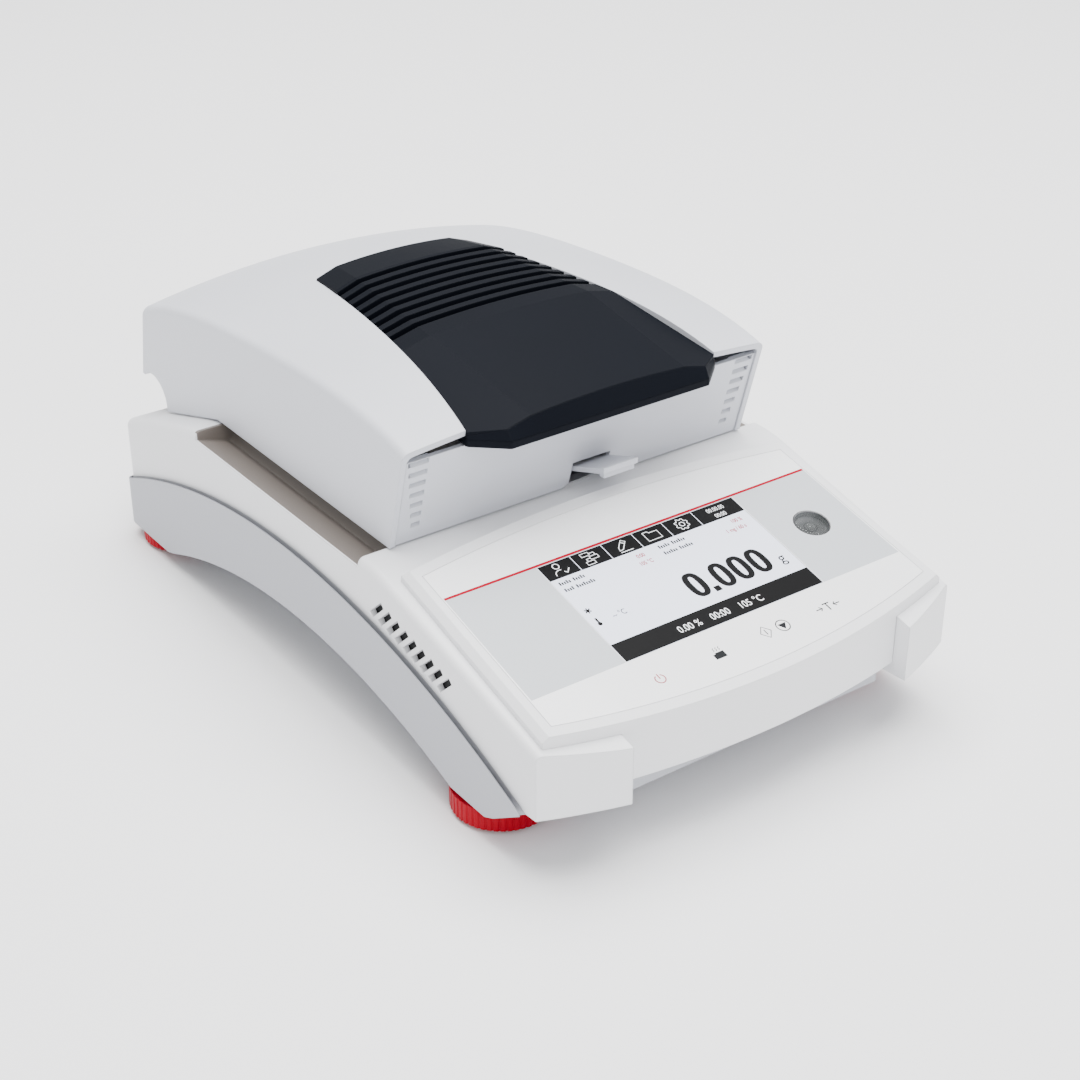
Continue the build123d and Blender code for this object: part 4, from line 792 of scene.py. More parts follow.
@dataclass(frozen=True)
class PanelFrame:
    """Places points on the sloping panel: x across, s down the slope, lift off it."""

    tilt: float = 13.4
    rear_y: float = -70.0
    rear_z: float = 84.4

    def place(self, x: float, s: float, lift: float = 0.0) -> Vector:
        """Point in metres for panel coordinates in millimetres.

        Args:
            x: Distance to the right of the middle.
            s: Distance down the slope from the rear edge of the film.
            lift: Height off the film's face.

        Returns:
            The point in the model's frame.
        """
        lean = math.radians(self.tilt)
        y = self.rear_y - s * math.cos(lean) - lift * math.sin(lean)
        z = self.rear_z - s * math.sin(lean) + lift * math.cos(lean)
        return Vector((x, y, z)) * MM

    def matrix(self) -> Matrix:
        """Matrix that turns (x, -s, lift) in millimetres into the model's frame.

        Returns:
            The matrix, which also scales to metres.
        """
        origin = self.place(0, 0)
        across = self.place(1, 0) - origin
        up_slope = self.place(0, -1) - origin
        normal = self.place(0, 0, 1) - origin
        columns = Matrix((across, up_slope, normal)).transposed().to_4x4()
        return Matrix.Translation(origin) @ columns


PANEL = PanelFrame()
LEVEL_PLACE = (70.9, 43.7)
SIDES = ((-1, "left"), (1, "right"))
CAPITAL_SHARE = 0.73


class PanelArt:
    """Collects flat marks of one ink on the panel and makes them one mesh."""

    def __init__(self, name: str, lift: float, thickness: float = 0.03) -> None:
        """Start an empty sheet of marks.

        Args:
            name: Name of the piece.
            lift: Height of the underside of the marks off the film's face.
            thickness: Thickness of the ink.
        """
        self.name = name
        self.lift = lift
        self.thickness = thickness
        self.marks = bmesh.new()

    def fill(self, outline: Sequence[Point2]) -> None:
        """Add a filled outline.

        Args:
            outline: Corners as (x, s), in order.
        """
        low = [self.marks.verts.new((x, -s, self.lift)) for x, s in outline]
        high = [self.marks.verts.new((x, -s, self.lift + self.thickness)) for x, s in outline]
        self.marks.faces.new(low)
        self.marks.faces.new(high[::-1])
        for index, corner in enumerate(low):
            following = (index + 1) % len(low)
            self.marks.faces.new((corner, high[index], high[following], low[following]))

    def bar(self, x0: float, s0: float, x1: float, s1: float) -> None:
        """Add a filled rectangle between two corners."""
        self.fill(((x0, s0), (x1, s0), (x1, s1), (x0, s1)))

    def ring(self, outer: Sequence[Point2], inner: Sequence[Point2]) -> None:
        """Add the field between two outlines of as many corners.

        Args:
            outer: Corners of the outer outline as (x, s), in order.
            inner: Corners of the inner outline, in the same order.
        """
        loops = [
            [self.marks.verts.new((x, -s, height)) for x, s in outline]
            for outline, height in (
                (outer, self.lift),
                (outer, self.lift + self.thickness),
                (inner, self.lift + self.thickness),
                (inner, self.lift),
            )
        ]
        for first, second in zip(loops, loops[1:] + loops[:1]):
            bridge(self.marks, first, second)

    def nought(self, x: float, s: float, width: float, height: float, stroke: float) -> None:
        """Add a bold figure nought round a centre.

        Args:
            x: Centre across.
            s: Centre down the slope.
            width: Outer width.
            height: Outer height.
            stroke: Width of its sides; its top and foot are a little thinner.
        """
        outer = oval_points(x, s, width / 2, height / 2)
        inner = oval_points(x, s, width / 2 - stroke, height / 2 - 0.75 * stroke)
        self.ring(outer, inner)

    def stroke(self, points: Sequence[Point2], width: float, closed: bool = False) -> None:
        """Add a line of even width through some points.

        Args:
            points: Points as (x, s).
            width: Width of the line.
            closed: Whether the line ends where it starts.
        """
        curve = bpy.data.curves.new("stroke", "CURVE")
        curve.dimensions = "3D"
        curve.bevel_depth = width / 2
        curve.bevel_resolution = 1
        curve.use_fill_caps = True
        spline = curve.splines.new("POLY")
        spline.points.add(len(points) - 1)
        for target, (x, s) in zip(spline.points, points):
            target.co = (x, -s, 0.0, 1.0)
        spline.use_cyclic_u = closed
        self._take(curve, Matrix.Diagonal((1.0, 1.0, self.thickness / width, 1.0)))

    def text(self, words: str, x: float, s: float, height: float, squeeze: float, weight: float) -> None:
        """Add generic figures centred on a point.

        Args:
            words: Figures and unit signs.
            x: Middle of the text.
            s: Base line of the text.
            height: Height of a capital.
            squeeze: Factor on the width.
            weight: Amount by which strokes are thickened, as a share of the height.
        """
        curve = bpy.data.curves.new("figures", "FONT")
        curve.body = words
        curve.align_x = "CENTER"
        curve.size = height / CAPITAL_SHARE
        curve.offset = weight
        curve.extrude = self.thickness / 2
        curve.resolution_u = 6
        place = Matrix.Translation((x, -s, 0.0)) @ Matrix.Diagonal((squeeze, 1.0, 1.0, 1.0))
        self._take(curve, place)

    def _take(self, curve: bpy.types.Curve, place: Matrix) -> None:
        """Turn a curve into mesh, place it and add it to the marks.

        Args:
            curve: The curve, drawn about its own origin.
            place: Where it goes on the panel, and how it is stretched.
        """
        carrier = bpy.data.objects.new("carrier", curve)
        mesh = bpy.data.meshes.new_from_object(carrier)
        lifted = Matrix.Translation((0.0, 0.0, self.lift + self.thickness / 2))
        mesh.transform(lifted @ place)
        self.marks.from_mesh(mesh)
        bpy.data.objects.remove(carrier)
        bpy.data.meshes.remove(mesh)

    def finish(self, paint: Paintbox, finish: str, slot: str) -> None:
        """Move the marks onto the panel, dress them and attach them to the base.

        Args:
            paint: Finishes by name.
            finish: Key of the ink's finish.
            slot: Material slot of the record that they belong to.
        """
        bmesh.ops.remove_doubles(self.marks, verts=self.marks.verts, dist=0.0005)
        bmesh.ops.transform(self.marks, matrix=PANEL.matrix(), verts=self.marks.verts)
        piece = mesh_from(self.name, self.marks)
        paint.dress(piece, finish)
        attach(piece, Body.BASE, slot)


def arc_points(x: float, s: float, radius: float, start: float, end: float, steps: int) -> list[Point2]:
    """Points along an arc on the panel.

    Args:
        x: Centre across.
        s: Centre down the slope.
        radius: Radius.
        start: First angle in degrees, from +x towards the rear.
        end: Last angle in degrees.
        steps: Number of chords.

    Returns:
        The points as (x, s).
    """
    angles = [math.radians(start + (end - start) * index / steps) for index in range(steps + 1)]
    return [(x + radius * math.cos(angle), s - radius * math.sin(angle)) for angle in angles]


def circle_points(x: float, s: float, radius: float, steps: int) -> list[Point2]:
    """Corners round a full circle on the panel."""
    return arc_points(x, s, radius, 0.0, 360.0, steps)[:-1]


def moved(points: Iterable[Point2], x: float, s: float) -> list[Point2]:
    """Points shifted by a place on the panel."""
    return [(x + dx, s + ds) for dx, ds in points]


def oval_points(x: float, s: float, half_width: float, half_height: float) -> list[Point2]:
    """Points round an oval that is squarer than an ellipse.

    Args:
        x: Centre across.
        s: Centre down the slope.
        half_width: Half of the width.
        half_height: Half of the height.

    Returns:
        The points as (x, s).
    """
    steps = 40
    power = 2.5
    points = []
    for index in range(steps):
        angle = math.tau * index / steps
        across, along = math.cos(angle), math.sin(angle)
        dx = math.copysign(abs(across) ** (2 / power), across)
        ds = math.copysign(abs(along) ** (2 / power), along)
        points.append((x + half_width * dx, s + half_height * ds))
    return points


@dataclass(frozen=True)
class IconLine:
    """One line of an icon, as offsets from the middle of its cell in the top bar."""

    cell: int
    points: Sequence[Point2]
    closed: bool = False
    weight: float = 1.0


@dataclass
class DisplayScreen:
    """The lit field of the display with its bars, signs and figures."""

    paint: Paintbox
    left: float = -48.3
    right: float = 50.3
    top: float = 15.75
    bar_bottom: float = 24.6
    foot_top: float = 63.9
    bottom: float = 73.85
    cell: float = 15.35
    cells: int = 6
    cell_gap: float = 0.16
    lift: float = -0.11
    over_bar: float = 0.02
    icon_s: float = 20.1
    line: float = 0.36
    gear_teeth: int = 8
    gear_reach: Point2 = (2.5, 3.2)
    clock_lines: tuple[tuple[str, float], ...] = (("00.00.00", 19.6), ("00:00", 23.4))
    clock_height: float = 2.3
    first_nought: Point2 = (2.9, 51.8)
    nought_size: Point2 = (8.5, 14.0)
    nought_stroke: float = 2.9
    nought_gap: float = 0.9
    star: Point2 = (-44.9, 44.6)
    star_reach: float = 1.5
    bulb: Point2 = (-44.8, 52.6)
    bulb_radius: float = 0.95
    labels: tuple[tuple[float, float, Sequence[int]], ...] = (
        (-46.0, 28.3, (5, 5)),
        (-46.0, 32.2, (4, 8)),
        (3.0, 28.3, (5, 6)),
        (3.0, 32.2, (6, 6)),
    )
    label_pitch: float = 1.12
    label_width: float = 0.72
    label_heights: Sequence[float] = (1.9, 1.35, 1.35)
    red_lines: tuple[tuple[str, float, float], ...] = (
        ("105 °C", -6.9, 33.2),
        ("0:00", -6.6, 29.0),
        ("100 %", 43.0, 29.0),
        ("1 mg / 60 s", 39.6, 33.2),
    )
    red_height: float = 2.1

    def build(self) -> None:
        """Build the bars, icons and figures and dress the screen."""
        self._bars()
        self._icons()
        self._figures()
        self._small_red()
        self._foot_line()

    def _bars(self) -> None:
        """Black bars along the top and the foot of the screen."""
        art = PanelArt("screen_bars", self.lift)
        last = self.cells - 1
        for index in range(self.cells):
            x0 = self.left + index * self.cell + (self.cell_gap if index else 0.0)
            x1 = self.left + (index + 1) * self.cell - self.cell_gap if index < last else self.right
            art.bar(x0, self.top, x1, self.bar_bottom)
        art.bar(self.left, self.foot_top, self.right, self.bottom)
        art.finish(self.paint, "lcd_black", "screen")

    def _gear(self) -> list[Point2]:
        """Outline of the toothed wheel, four corners to a tooth.

        Returns:
            The corners as offsets from its middle.
        """
        corners = []
        for index in range(4 * self.gear_teeth):
            reach = self.gear_reach[(index // 2) % 2]
            angle = math.tau * index / (4 * self.gear_teeth)
            corners.append((reach * math.cos(angle), reach * math.sin(angle)))
        return corners

    def _icon_lines(self) -> list[IconLine]:
        """Lines of a person with a tick, linked boxes, a pencil, a folder and a gear.

        Returns:
            The lines, cell by cell.
        """
        box = ((-1.9, -0.9), (1.9, -0.9), (1.9, 0.9), (-1.9, 0.9))
        pencil = ((-2.4, 2.2), (-2.0, 0.4), (1.4, -3.2), (2.8, -1.8), (-0.6, 1.8))
        folder = ((-3.4, -2.6), (-1.2, -2.6), (-0.5, -1.7), (3.4, -1.7), (3.4, 2.6), (-3.4, 2.6))
        boxes = [moved(box, dx, ds) for dx, ds in ((-1.6, -2.4), (1.4, 0.1), (-1.6, 2.5))]
        return [
            IconLine(0, circle_points(-0.6, -1.9, 1.4, 20), True),
            IconLine(0, arc_points(-0.6, 3.0, 2.6, 180, 70, 10)),
            IconLine(0, ((1.0, 1.9), (2.0, 2.9), (3.8, 0.9)), weight=1.3),
            *(IconLine(1, corners, True) for corners in boxes),
            IconLine(1, ((0.4, -2.4), (2.6, -2.4), (2.6, -0.9))),
            IconLine(1, ((-0.6, 0.1), (-2.4, 0.1), (-2.4, 1.5))),
            IconLine(2, pencil, True),
            IconLine(2, ((0.5, -2.2), (1.9, -0.8))),
            IconLine(2, ((-2.6, 3.2), (3.4, 3.2))),
            IconLine(3, folder, True),
            IconLine(4, self._gear(), True),
            IconLine(4, circle_points(0.0, 0.0, 1.15, 16), True),
        ]

    def _icons(self) -> None:
        """White outline icons in the cells of the top bar, and the figures of its clock."""
        art = PanelArt("screen_icons", self.lift + self.over_bar)
        for line in self._icon_lines():
            middle = self.left + (line.cell + 0.5) * self.cell
            art.stroke(moved(line.points, middle, self.icon_s), self.line * line.weight, line.closed)
        clock_x = (self.left + (self.cells - 1) * self.cell + self.right) / 2
        for words, foot in self.clock_lines:
            art.text(words, clock_x, foot, self.clock_height, 0.82, 0.0)
        art.finish(self.paint, "lcd_white", "screen")

    def _figures(self) -> None:
        """Dark figures of the reading, its unit, the greeked labels and the status signs."""
        art = PanelArt("screen_figures", self.lift)
        centre, middle_s = self.first_nought
        width, height = self.nought_size
        stroke, gap = self.nought_stroke, self.nought_gap
        art.nought(centre, middle_s, width, height, stroke)
        dot = centre + width / 2 + gap
        art.bar(dot, middle_s + height / 2 - stroke, dot + stroke, middle_s + height / 2)
        for index in range(3):
            after = dot + stroke + gap + width / 2 + index * (width + gap)
            art.nought(after, middle_s, width, height, stroke)
        art.text("g", 44.6, 57.2, 5.6, 0.95, 0.012)
        self._labels(art)
        for index in range(3):
            angle = math.radians(60 * index + 30)
            dx, ds = self.star_reach * math.cos(angle), self.star_reach * math.sin(angle)
            art.stroke(moved(((-dx, -ds), (dx, ds)), *self.star), 0.6)
        art.fill(circle_points(*self.bulb, self.bulb_radius, 28))
        art.stroke(moved(((0.0, -3.4), (0.0, -0.4)), *self.bulb), 0.9)
        art.text("-- °C", -34.6, 52.4, 2.9, 0.82, 0.012)
        art.finish(self.paint, "lcd_dark", "screen")

    def _labels(self, art: PanelArt) -> None:
        """Rows of plain strokes where the screen has small captions.

        Args:
            art: Sheet of marks that they are added to.
        """
        for first, foot, words in self.labels:
            x = first
            for letters in words:
                for index in range(letters):
                    height = self.label_heights[index % 3]
                    art.bar(x, foot - height, x + self.label_width, foot)
                    x += self.label_pitch
                x += self.label_pitch

    def _small_red(self) -> None:
        """Small red figures under the top bar."""
        art = PanelArt("screen_red_figures", self.lift)
        for words, x, foot in self.red_lines:
            art.text(words, x, foot, self.red_height, 0.8, 0.05)
        art.finish(self.paint, "lcd_red", "screen")

    def _foot_line(self) -> None:
        """White generic figures in the bar along the foot."""
        art = PanelArt("screen_foot_figures", self.lift + self.over_bar)
        art.text("0.00 %    00:00    105 °C", 1.2, 71.0, 3.6, 0.86, 0.004)
        art.finish(self.paint, "lcd_white", "screen")


@dataclass
class FilmPrint:
    """Printing on the control film: line, bands and the signs of the keys."""

    paint: Paintbox
    line_s: float = 14.75
    line_width: float = 1.25
    band_end: float = 74.1
    screen_left: float = -48.8
    screen_right: float = 50.8
    level_hole: float = 8.1
    half_rear: float = 90.6
    half_front: float = 92.1
    length: float = 87.8
    stroke: float = 0.45
    power_sign: Point2 = (-42.4, 87.0)
    start_sign: Point2 = (10.3, 85.8)
    play_sign: Point2 = (18.9, 85.9)
    tare_sign: Point2 = (42.5, 85.7)

    def _edge(self, s: float) -> float:
        """Half width of the printed field at a distance down the slope."""
        return self.half_rear + (self.half_front - self.half_rear) * s / self.length

    def build(self) -> None:
        """Build the line, the bands and the signs."""
        self._line()
        self._bands()
        self._signs()

    def _line(self) -> None:
        """Thin crimson line across the film, and the crimson sign of the power key."""
        art = PanelArt("film_line", -0.01, 0.04)
        edge = self._edge(self.line_s)
        art.bar(-edge, self.line_s - self.line_width / 2, edge, self.line_s + self.line_width / 2)
        art.stroke(arc_points(*self.power_sign, 2.1, 118, 422, 26), self.stroke)
        art.stroke(moved(((0.0, -2.7), (0.0, 0.0)), *self.power_sign), self.stroke)
        art.finish(self.paint, "ink_red", "film")

    def _bands(self) -> None:
        """Pale grey bands left and right of the screen, clear of the level."""
        art = PanelArt("film_bands", -0.012, 0.03)
        top, end = self.line_s + self.line_width / 2, self.band_end
        left, right = self.screen_left, self.screen_right
        art.fill(((-self._edge(top), top), (left, top), (left, end), (-self._edge(end), end)))
        level_x = LEVEL_PLACE[0]
        left_arc = arc_points(*LEVEL_PLACE, self.level_hole, 90, 270, 24)
        right_arc = arc_points(*LEVEL_PLACE, self.level_hole, 90, -90, 24)
        art.fill([(right, top), (level_x, top), *left_arc, (level_x, end), (right, end)])
        outer_rear, outer_front = (self._edge(top), top), (self._edge(end), end)
        art.fill([outer_rear, (level_x, top), *right_arc, (level_x, end), outer_front])
        art.finish(self.paint, "ink_grey", "film")

    def _signs(self) -> None:
        """Dark signs over the heater, start and tare keys."""
        art = PanelArt("key_signs", -0.01, 0.04)
        art.bar(-16.6, 86.4, -11.4, 89.0)
        art.bar(-15.4, 85.8, -11.4, 86.5)
        wave = ((-0.3, 85.1), (0.3, 84.5), (-0.1, 83.9), (0.5, 83.3))
        for index in range(3):
            art.stroke(moved(wave, -14.9 + 1.3 * index, 0.0), 0.32)
        diamond = ((0.0, -3.2), (2.6, 0.0), (0.0, 3.2), (-2.6, 0.0))
        art.stroke(moved(diamond, *self.start_sign), self.stroke, True)
        art.stroke(moved(((0.0, -1.4), (0.0, 1.4)), *self.start_sign), self.stroke)
        art.stroke(circle_points(*self.play_sign, 2.9, 30), self.stroke, True)
        art.fill(moved(((-2.0, -1.1), (2.0, -1.1), (0.0, 2.1)), *self.play_sign))
        x, middle = self.tare_sign
        art.text("T", x, middle + 2.1, 4.4, 0.95, 0.012)
        for side in (-1, 1):
            shaft = ((side * 6.0, 0.0), (side * 2.9, 0.0))
            head = ((side * 4.0, -1.1), (side * 2.9, 0.0), (side * 4.0, 1.1))
            art.stroke(moved(shaft, x, middle), 0.5)
            art.stroke(moved(head, x, middle), 0.5)
        art.finish(self.paint, "ink_dark", "film")


@dataclass
class SpiritLevel:
    """Round level let into the film: dish, ring, bubble and domed glass."""

    paint: Paintbox
    radius: float = 7.7
    dish_lift: float = -2.4
    dish_floor: float = 0.6
    rim_lift: float = -0.35
    rim_width: float = 0.5
    wall_foot: float = 0.9
    ring_radius: float = 2.6
    ring_width: float = 0.3
    ring_lifts: Point2 = (0.02, 0.07)
    bubble_radius: float = 1.9
    bubble_lift: float = 0.9
    bubble_half: float = 0.45
    window_gap: float = 0.55
    window_lift: float = -0.75
    window_edge: float = 0.3
    window_rise: float = 0.4
    steps: int = 48

    def _turned(self, name: str, profile: Sequence[Point2], angle: float, closed: bool = False) -> Any:
        """Turn a profile about the level's own axis.

        Args:
            name: Name of the piece.
            profile: Points as (radius, lift).
            angle: Smoothing angle in degrees.
            closed: Whether the profile is a closed loop.

        Returns:
            The new piece.
        """
        x, s = LEVEL_PLACE
        shape = bmesh.new()
        rings = []
        for radius, lift in profile:
            corners = circle_points(x, s, radius, self.steps) if radius > 1e-6 else [(x, s)]
            rings.append([shape.verts.new((across, -along, lift)) for across, along in corners])
        following_rings = rings[1:] + rings[:1] if closed else rings[1:]
        for low, high in zip(rings, following_rings):
            for index in range(self.steps):
                following = (index + 1) % self.steps
                corners = [low[index % len(low)], low[following % len(low)]]
                corners += [high[following % len(high)], high[index % len(high)]]
                unique = list(dict.fromkeys(corners))
                if len(unique) > 2:
                    shape.faces.new(unique)
        bmesh.ops.transform(shape, matrix=PANEL.matrix(), verts=shape.verts)
        return mesh_from(name, shape, angle)

    @staticmethod
    def _dome(radius: float, lift: float, rise: float, start: int) -> list[Point2]:
        """Profile of a flat dome from an angle in degrees up to its top.

        Args:
            radius: Radius at the rim.
            lift: Height of the rim.
            rise: Height of the top over the rim.
            start: First angle, from -90 for a whole lens to 0 for a dome.

        Returns:
            Points as (radius, lift).
        """
        angles = [math.radians(angle) for angle in range(start, 91, 10)]
        return [(radius * math.cos(angle), lift + rise * math.sin(angle)) for angle in angles]

    def _dish(self) -> None:
        """Build the dish, which has a finish of its own."""
        low, inner = self.dish_lift, self.radius - self.rim_width
        under = low - self.dish_floor
        profile = (
            (0.0, under),
            (self.radius, under),
            (self.radius, self.rim_lift),
            (inner, self.rim_lift),
            (self.radius - self.wall_foot, low),
            (0.0, low),
        )
        dish = self._turned("level_dish", profile, 40.0)
        centre = PANEL.place(*LEVEL_PLACE, low)
        dish.data.materials.append(LevelDish("level_dish", tuple(centre), self.radius * MM).make())
        attach(dish, Body.BASE, "vial", "level_vial")

    def build(self) -> None:
        """Build and attach the pieces of the level."""
        self._dish()
        low, inner = self.dish_lift, self.ring_radius
        outer = inner + self.ring_width
        foot, top = (low + lift for lift in self.ring_lifts)
        ring = self._turned(
            "level_ring", ((inner, foot), (outer, foot), (outer, top), (inner, top)), 40.0, True
        )
        lens = self._dome(self.bubble_radius, low + self.bubble_lift, self.bubble_half, -90)
        bubble = self._turned("level_bubble", lens, 80.0)
        rim, under = self.radius - self.window_gap, self.window_lift
        dome = self._dome(rim, under + self.window_edge, self.window_rise, 0)
        window = self._turned("level_window", [(0.0, under), (rim, under), *dome], 80.0)
        for piece, finish in ((ring, "ink_dark"), (bubble, "level_glass"), (window, "level_glass")):
            self.paint.dress(piece, finish)
            attach(piece, Body.BASE, "vial")


class RowTree:
    """Geometry tree that repeats one slat along a line."""

    def __init__(self) -> None:
        """Build the tree with named inputs."""
        self.tree = bpy.data.node_groups.new("slat_row", "GeometryNodeTree")
        self.keys: dict[str, str] = {}
        face = self.tree.interface
        face.new_socket("Geometry", in_out="OUTPUT", socket_type="NodeSocketGeometry")
        for name, kind in (
            ("Count", "NodeSocketInt"),
            ("Start", "NodeSocketVector"),
            ("Step", "NodeSocketVector"),
            ("Slat Size", "NodeSocketVector"),
            ("Tilt", "NodeSocketVector"),
            ("Finish", "NodeSocketMaterial"),
        ):
            item = face.new_socket(name, in_out="INPUT", socket_type=kind)
            self.keys[name] = item.identifier
        nodes, links = self.tree.nodes, self.tree.links
        given = nodes.new("NodeGroupInput")
        given_out = nodes.new("NodeGroupOutput")
        row = nodes.new("GeometryNodeMeshLine")
        row.mode = "OFFSET"
        slat = nodes.new("GeometryNodeMeshCube")
        spread = nodes.new("GeometryNodeInstanceOnPoints")
        real = nodes.new("GeometryNodeRealizeInstances")
        finish = nodes.new("GeometryNodeSetMaterial")
        for source, leaving, target, arriving in (
            (given, "Count", row, "Count"),
            (given, "Start", row, "Start Location"),
            (given, "Step", row, "Offset"),
            (given, "Slat Size", slat, "Size"),
            (row, "Mesh", spread, "Points"),
            (slat, "Mesh", spread, "Instance"),
            (given, "Tilt", spread, "Rotation"),
            (spread, "Instances", real, "Geometry"),
            (real, "Geometry", finish, "Geometry"),
            (given, "Finish", finish, "Material"),
            (finish, "Geometry", given_out, "Geometry"),
        ):
            links.new(source.outputs[leaving], target.inputs[arriving])

    def row(self, name: str, values: dict[str, Any]) -> bpy.types.Object:
        """Make one row of slats as a plain mesh.

        Args:
            name: Name of the piece.
            values: Values by input name, in metres and radians.

        Returns:
            The new piece.
        """
        piece = link_mesh(name, bpy.data.meshes.new(name))
        modifier = piece.modifiers.new("row", "NODES")
        modifier.node_group = self.tree
        for key, value in values.items():
            modifier[self.keys[key]] = value
        return settle(piece)


@dataclass
class HoodLouvres:
    """Slanted slats inside the slots of the hood's front panel."""

    paint: Paintbox
    rows: RowTree
    count: int = 7
    pitch: float = 5.2
    inner_x: float = 76.6
    outer_top_x: float = 86.0
    outer_lean: float = 0.9
    top_z: float = 123.5
    front_y: float = -43.8
    lean: float = 0.27
    bottom_z: float = 84.5
    inset: float = 1.9
    drop: float = 0.1
    slat: Point3 = (9.4, 3.6, 0.5)
    slat_tilt: float = 42.0

    def build(self) -> None:
        """Build one row of slats on each side."""
        middle = (self.inner_x + self.outer_top_x - self.outer_lean * (self.count - 1) / 2) / 2
        start_y = self.front_y - self.lean * (self.top_z - self.bottom_z) + self.inset
        for side, word in SIDES:
            start = (side * middle, start_y, self.top_z - self.drop)
            step = (-side * self.outer_lean / 2, self.lean * self.pitch, -self.pitch)
            piece = self.rows.row(
                f"louvre_slats_{word}",
                {
                    "Count": self.count,
                    "Start": tuple(length * MM for length in start),
                    "Step": tuple(length * MM for length in step),
                    "Slat Size": tuple(length * MM for length in self.slat),
                    "Tilt": (math.radians(self.slat_tilt), 0.0, 0.0),
                    "Finish": self.paint.get("hood"),
                },
            )
            attach(piece, Body.LID, "housing_white")


@dataclass
class SideVentShade:
    """Dark sheets close behind the slots in the sides of the base, painted shade that stands for the dark
    inside.
    """

    paint: Paintbox
    wall_x: float = 100.2
    thickness: float = 0.5
    corners: tuple[Point2, ...] = (
        (-112.0, 46.0),
        (-95.0, 44.0),
        (-44.0, 60.0),
        (-44.0, 76.0),
        (-60.0, 74.0),
        (-112.0, 62.0),
    )

    def build(self) -> None:
        """Build one sheet of painted shade on each side."""
        for side, word in SIDES:
            faces = [
                [(side * x, y, z) for y, z in self.corners]
                for x in (self.wall_x, self.wall_x - self.thickness)
            ]
            # Painted shade: a black sheet where the inside of the base lies in shadow.
            piece = lofted(f"vent_painted_shade_{word}", faces)
            self.paint.dress(piece, "dark")
            attach(piece, Body.BASE, "holder")


@dataclass(frozen=True)
class Arc:
    """Flat arc through three points (y, z) of a side view."""

    first: Point2
    middle: Point2
    last: Point2

    def height(self, y: float) -> float:
        """Height of the arc's upper side.

        Args:
            y: Distance to the rear.

        Returns:
            Height in the points' own unit.
        """
        (y1, z1), (y2, z2), (y3, z3) = self.first, self.middle, self.last
        side = 2.0 * ((z2 - z1) * (y3 - y2) - (z3 - z2) * (y2 - y1))
        sums = [a * a + b * b for a, b in (self.first, self.middle, self.last)]
        centre_y = (sums[0] * (z3 - z2) + sums[1] * (z1 - z3) + sums[2] * (z2 - z1)) / side
        centre_z = (sums[0] * (y2 - y3) + sums[1] * (y3 - y1) + sums[2] * (y1 - y2)) / side
        reach = math.hypot(y1 - centre_y, z1 - centre_z)
        return centre_z + math.sqrt(max(0.0, reach * reach - (y - centre_y) ** 2))


@dataclass
class SideBand:
    """Thin grey skirt round the sides and the rear, down to the line that the feet peep under."""

    paint: Paintbox
    half: float = 105.0
    rear_y: float = 173.0
    corner: float = 9.0
    clearance: float = 0.04
    thickness: float = 0.24
    front_y: float = -153.0
    seam: Arc = Arc((173.0, 28.0), (14.0, 63.5), (-154.0, 28.6))
    shell_belly: Arc = Arc((-118.0, 14.0), (24.0, 35.0), (173.0, 4.5))
    belly: Arc = Arc((-108.0, 14.0), (2.0, 33.3), (128.0, 7.4))
    chin_y: float = -132.0
    chin_z: float = 14.0
    rear_z: float = 7.4
    steps: int = 56
    corner_steps: int = 8

    def _bottom(self, y: float) -> float:
        """Height of the lower edge.

        Args:
            y: Distance to the rear.

        Returns:
            Height over the table.
        """
        if y < self.chin_y:
            share = (self.chin_y - y) / (self.chin_y - self.seam.last[0])
            return self.chin_z + share * (self.seam.last[1] - self.chin_z)
        if y < self.shell_belly.first[0]:
            return self.chin_z
        if y < self.belly.first[0]:
            return min(self.chin_z, self.shell_belly.height(y))
        if y < self.belly.last[0]:
            return min(self.belly.height(y), self.shell_belly.height(y))
        return self.rear_z

    def _path(self) -> list[tuple[float, float, float, float]]:
        """Plan path of one side, from the front to the rear middle.

        Returns:
            Points as (x, y, outward x, outward y).
        """
        straight_end = self.rear_y - self.corner
        path = []
        for index in range(self.steps + 1):
            y = self.front_y + (straight_end - self.front_y) * index / self.steps
            path.append((self.half, y, 1.0, 0.0))
        for index in range(1, self.corner_steps + 1):
            angle = math.radians(90.0 * index / self.corner_steps)
            across, along = math.cos(angle), math.sin(angle)
            x = self.half - self.corner + self.corner * across
            path.append((x, straight_end + self.corner * along, across, along))
        return path

    def build(self) -> None:
        """Build the skirt as one closed strip."""
        right = self._path()
        left = [(-x, y, -across, along) for x, y, across, along in right]
        near, far = self.clearance, self.clearance + self.thickness
        sections = []
        for x, y, across, along in [*left, *reversed(right)]:
            top, bottom = self.seam.height(y), self._bottom(y)
            corners = ((near, top), (near, bottom), (far, bottom), (far, top))
            sections.append([(x + across * reach, y + along * reach, z) for reach, z in corners])
        piece = lofted("side_band", sections)
        self.paint.dress(piece, "band")
        attach(piece, Body.BASE, "band_grey")


@dataclass
class TrimmedHousing:
    """Bottom housing whose collars round the feet end clear of the table."""

    paint: Paintbox
    end_z: float = 7.2
    weld: float = 1e-6

    def build(self, node: bpy.types.Object) -> None:
        """Build the trimmed copy.

        Args:
            node: CAD object of the bottom housing.
        """
        shape = bmesh.new()
        shape.from_mesh(node.data)
        bmesh.ops.transform(shape, matrix=node.matrix_world, verts=shape.verts)
        bmesh.ops.remove_doubles(shape, verts=shape.verts, dist=self.weld)
        for corner in shape.verts:
            corner.co.z = max(corner.co.z, self.end_z * MM)
        bmesh.ops.dissolve_degenerate(shape, dist=self.weld, edges=shape.edges)
        piece = mesh_from("bottom_housing_trimmed", shape)
        self.paint.dress(piece, "band")
        attach(piece, Body.BASE, "band_grey", "bottom_housing")


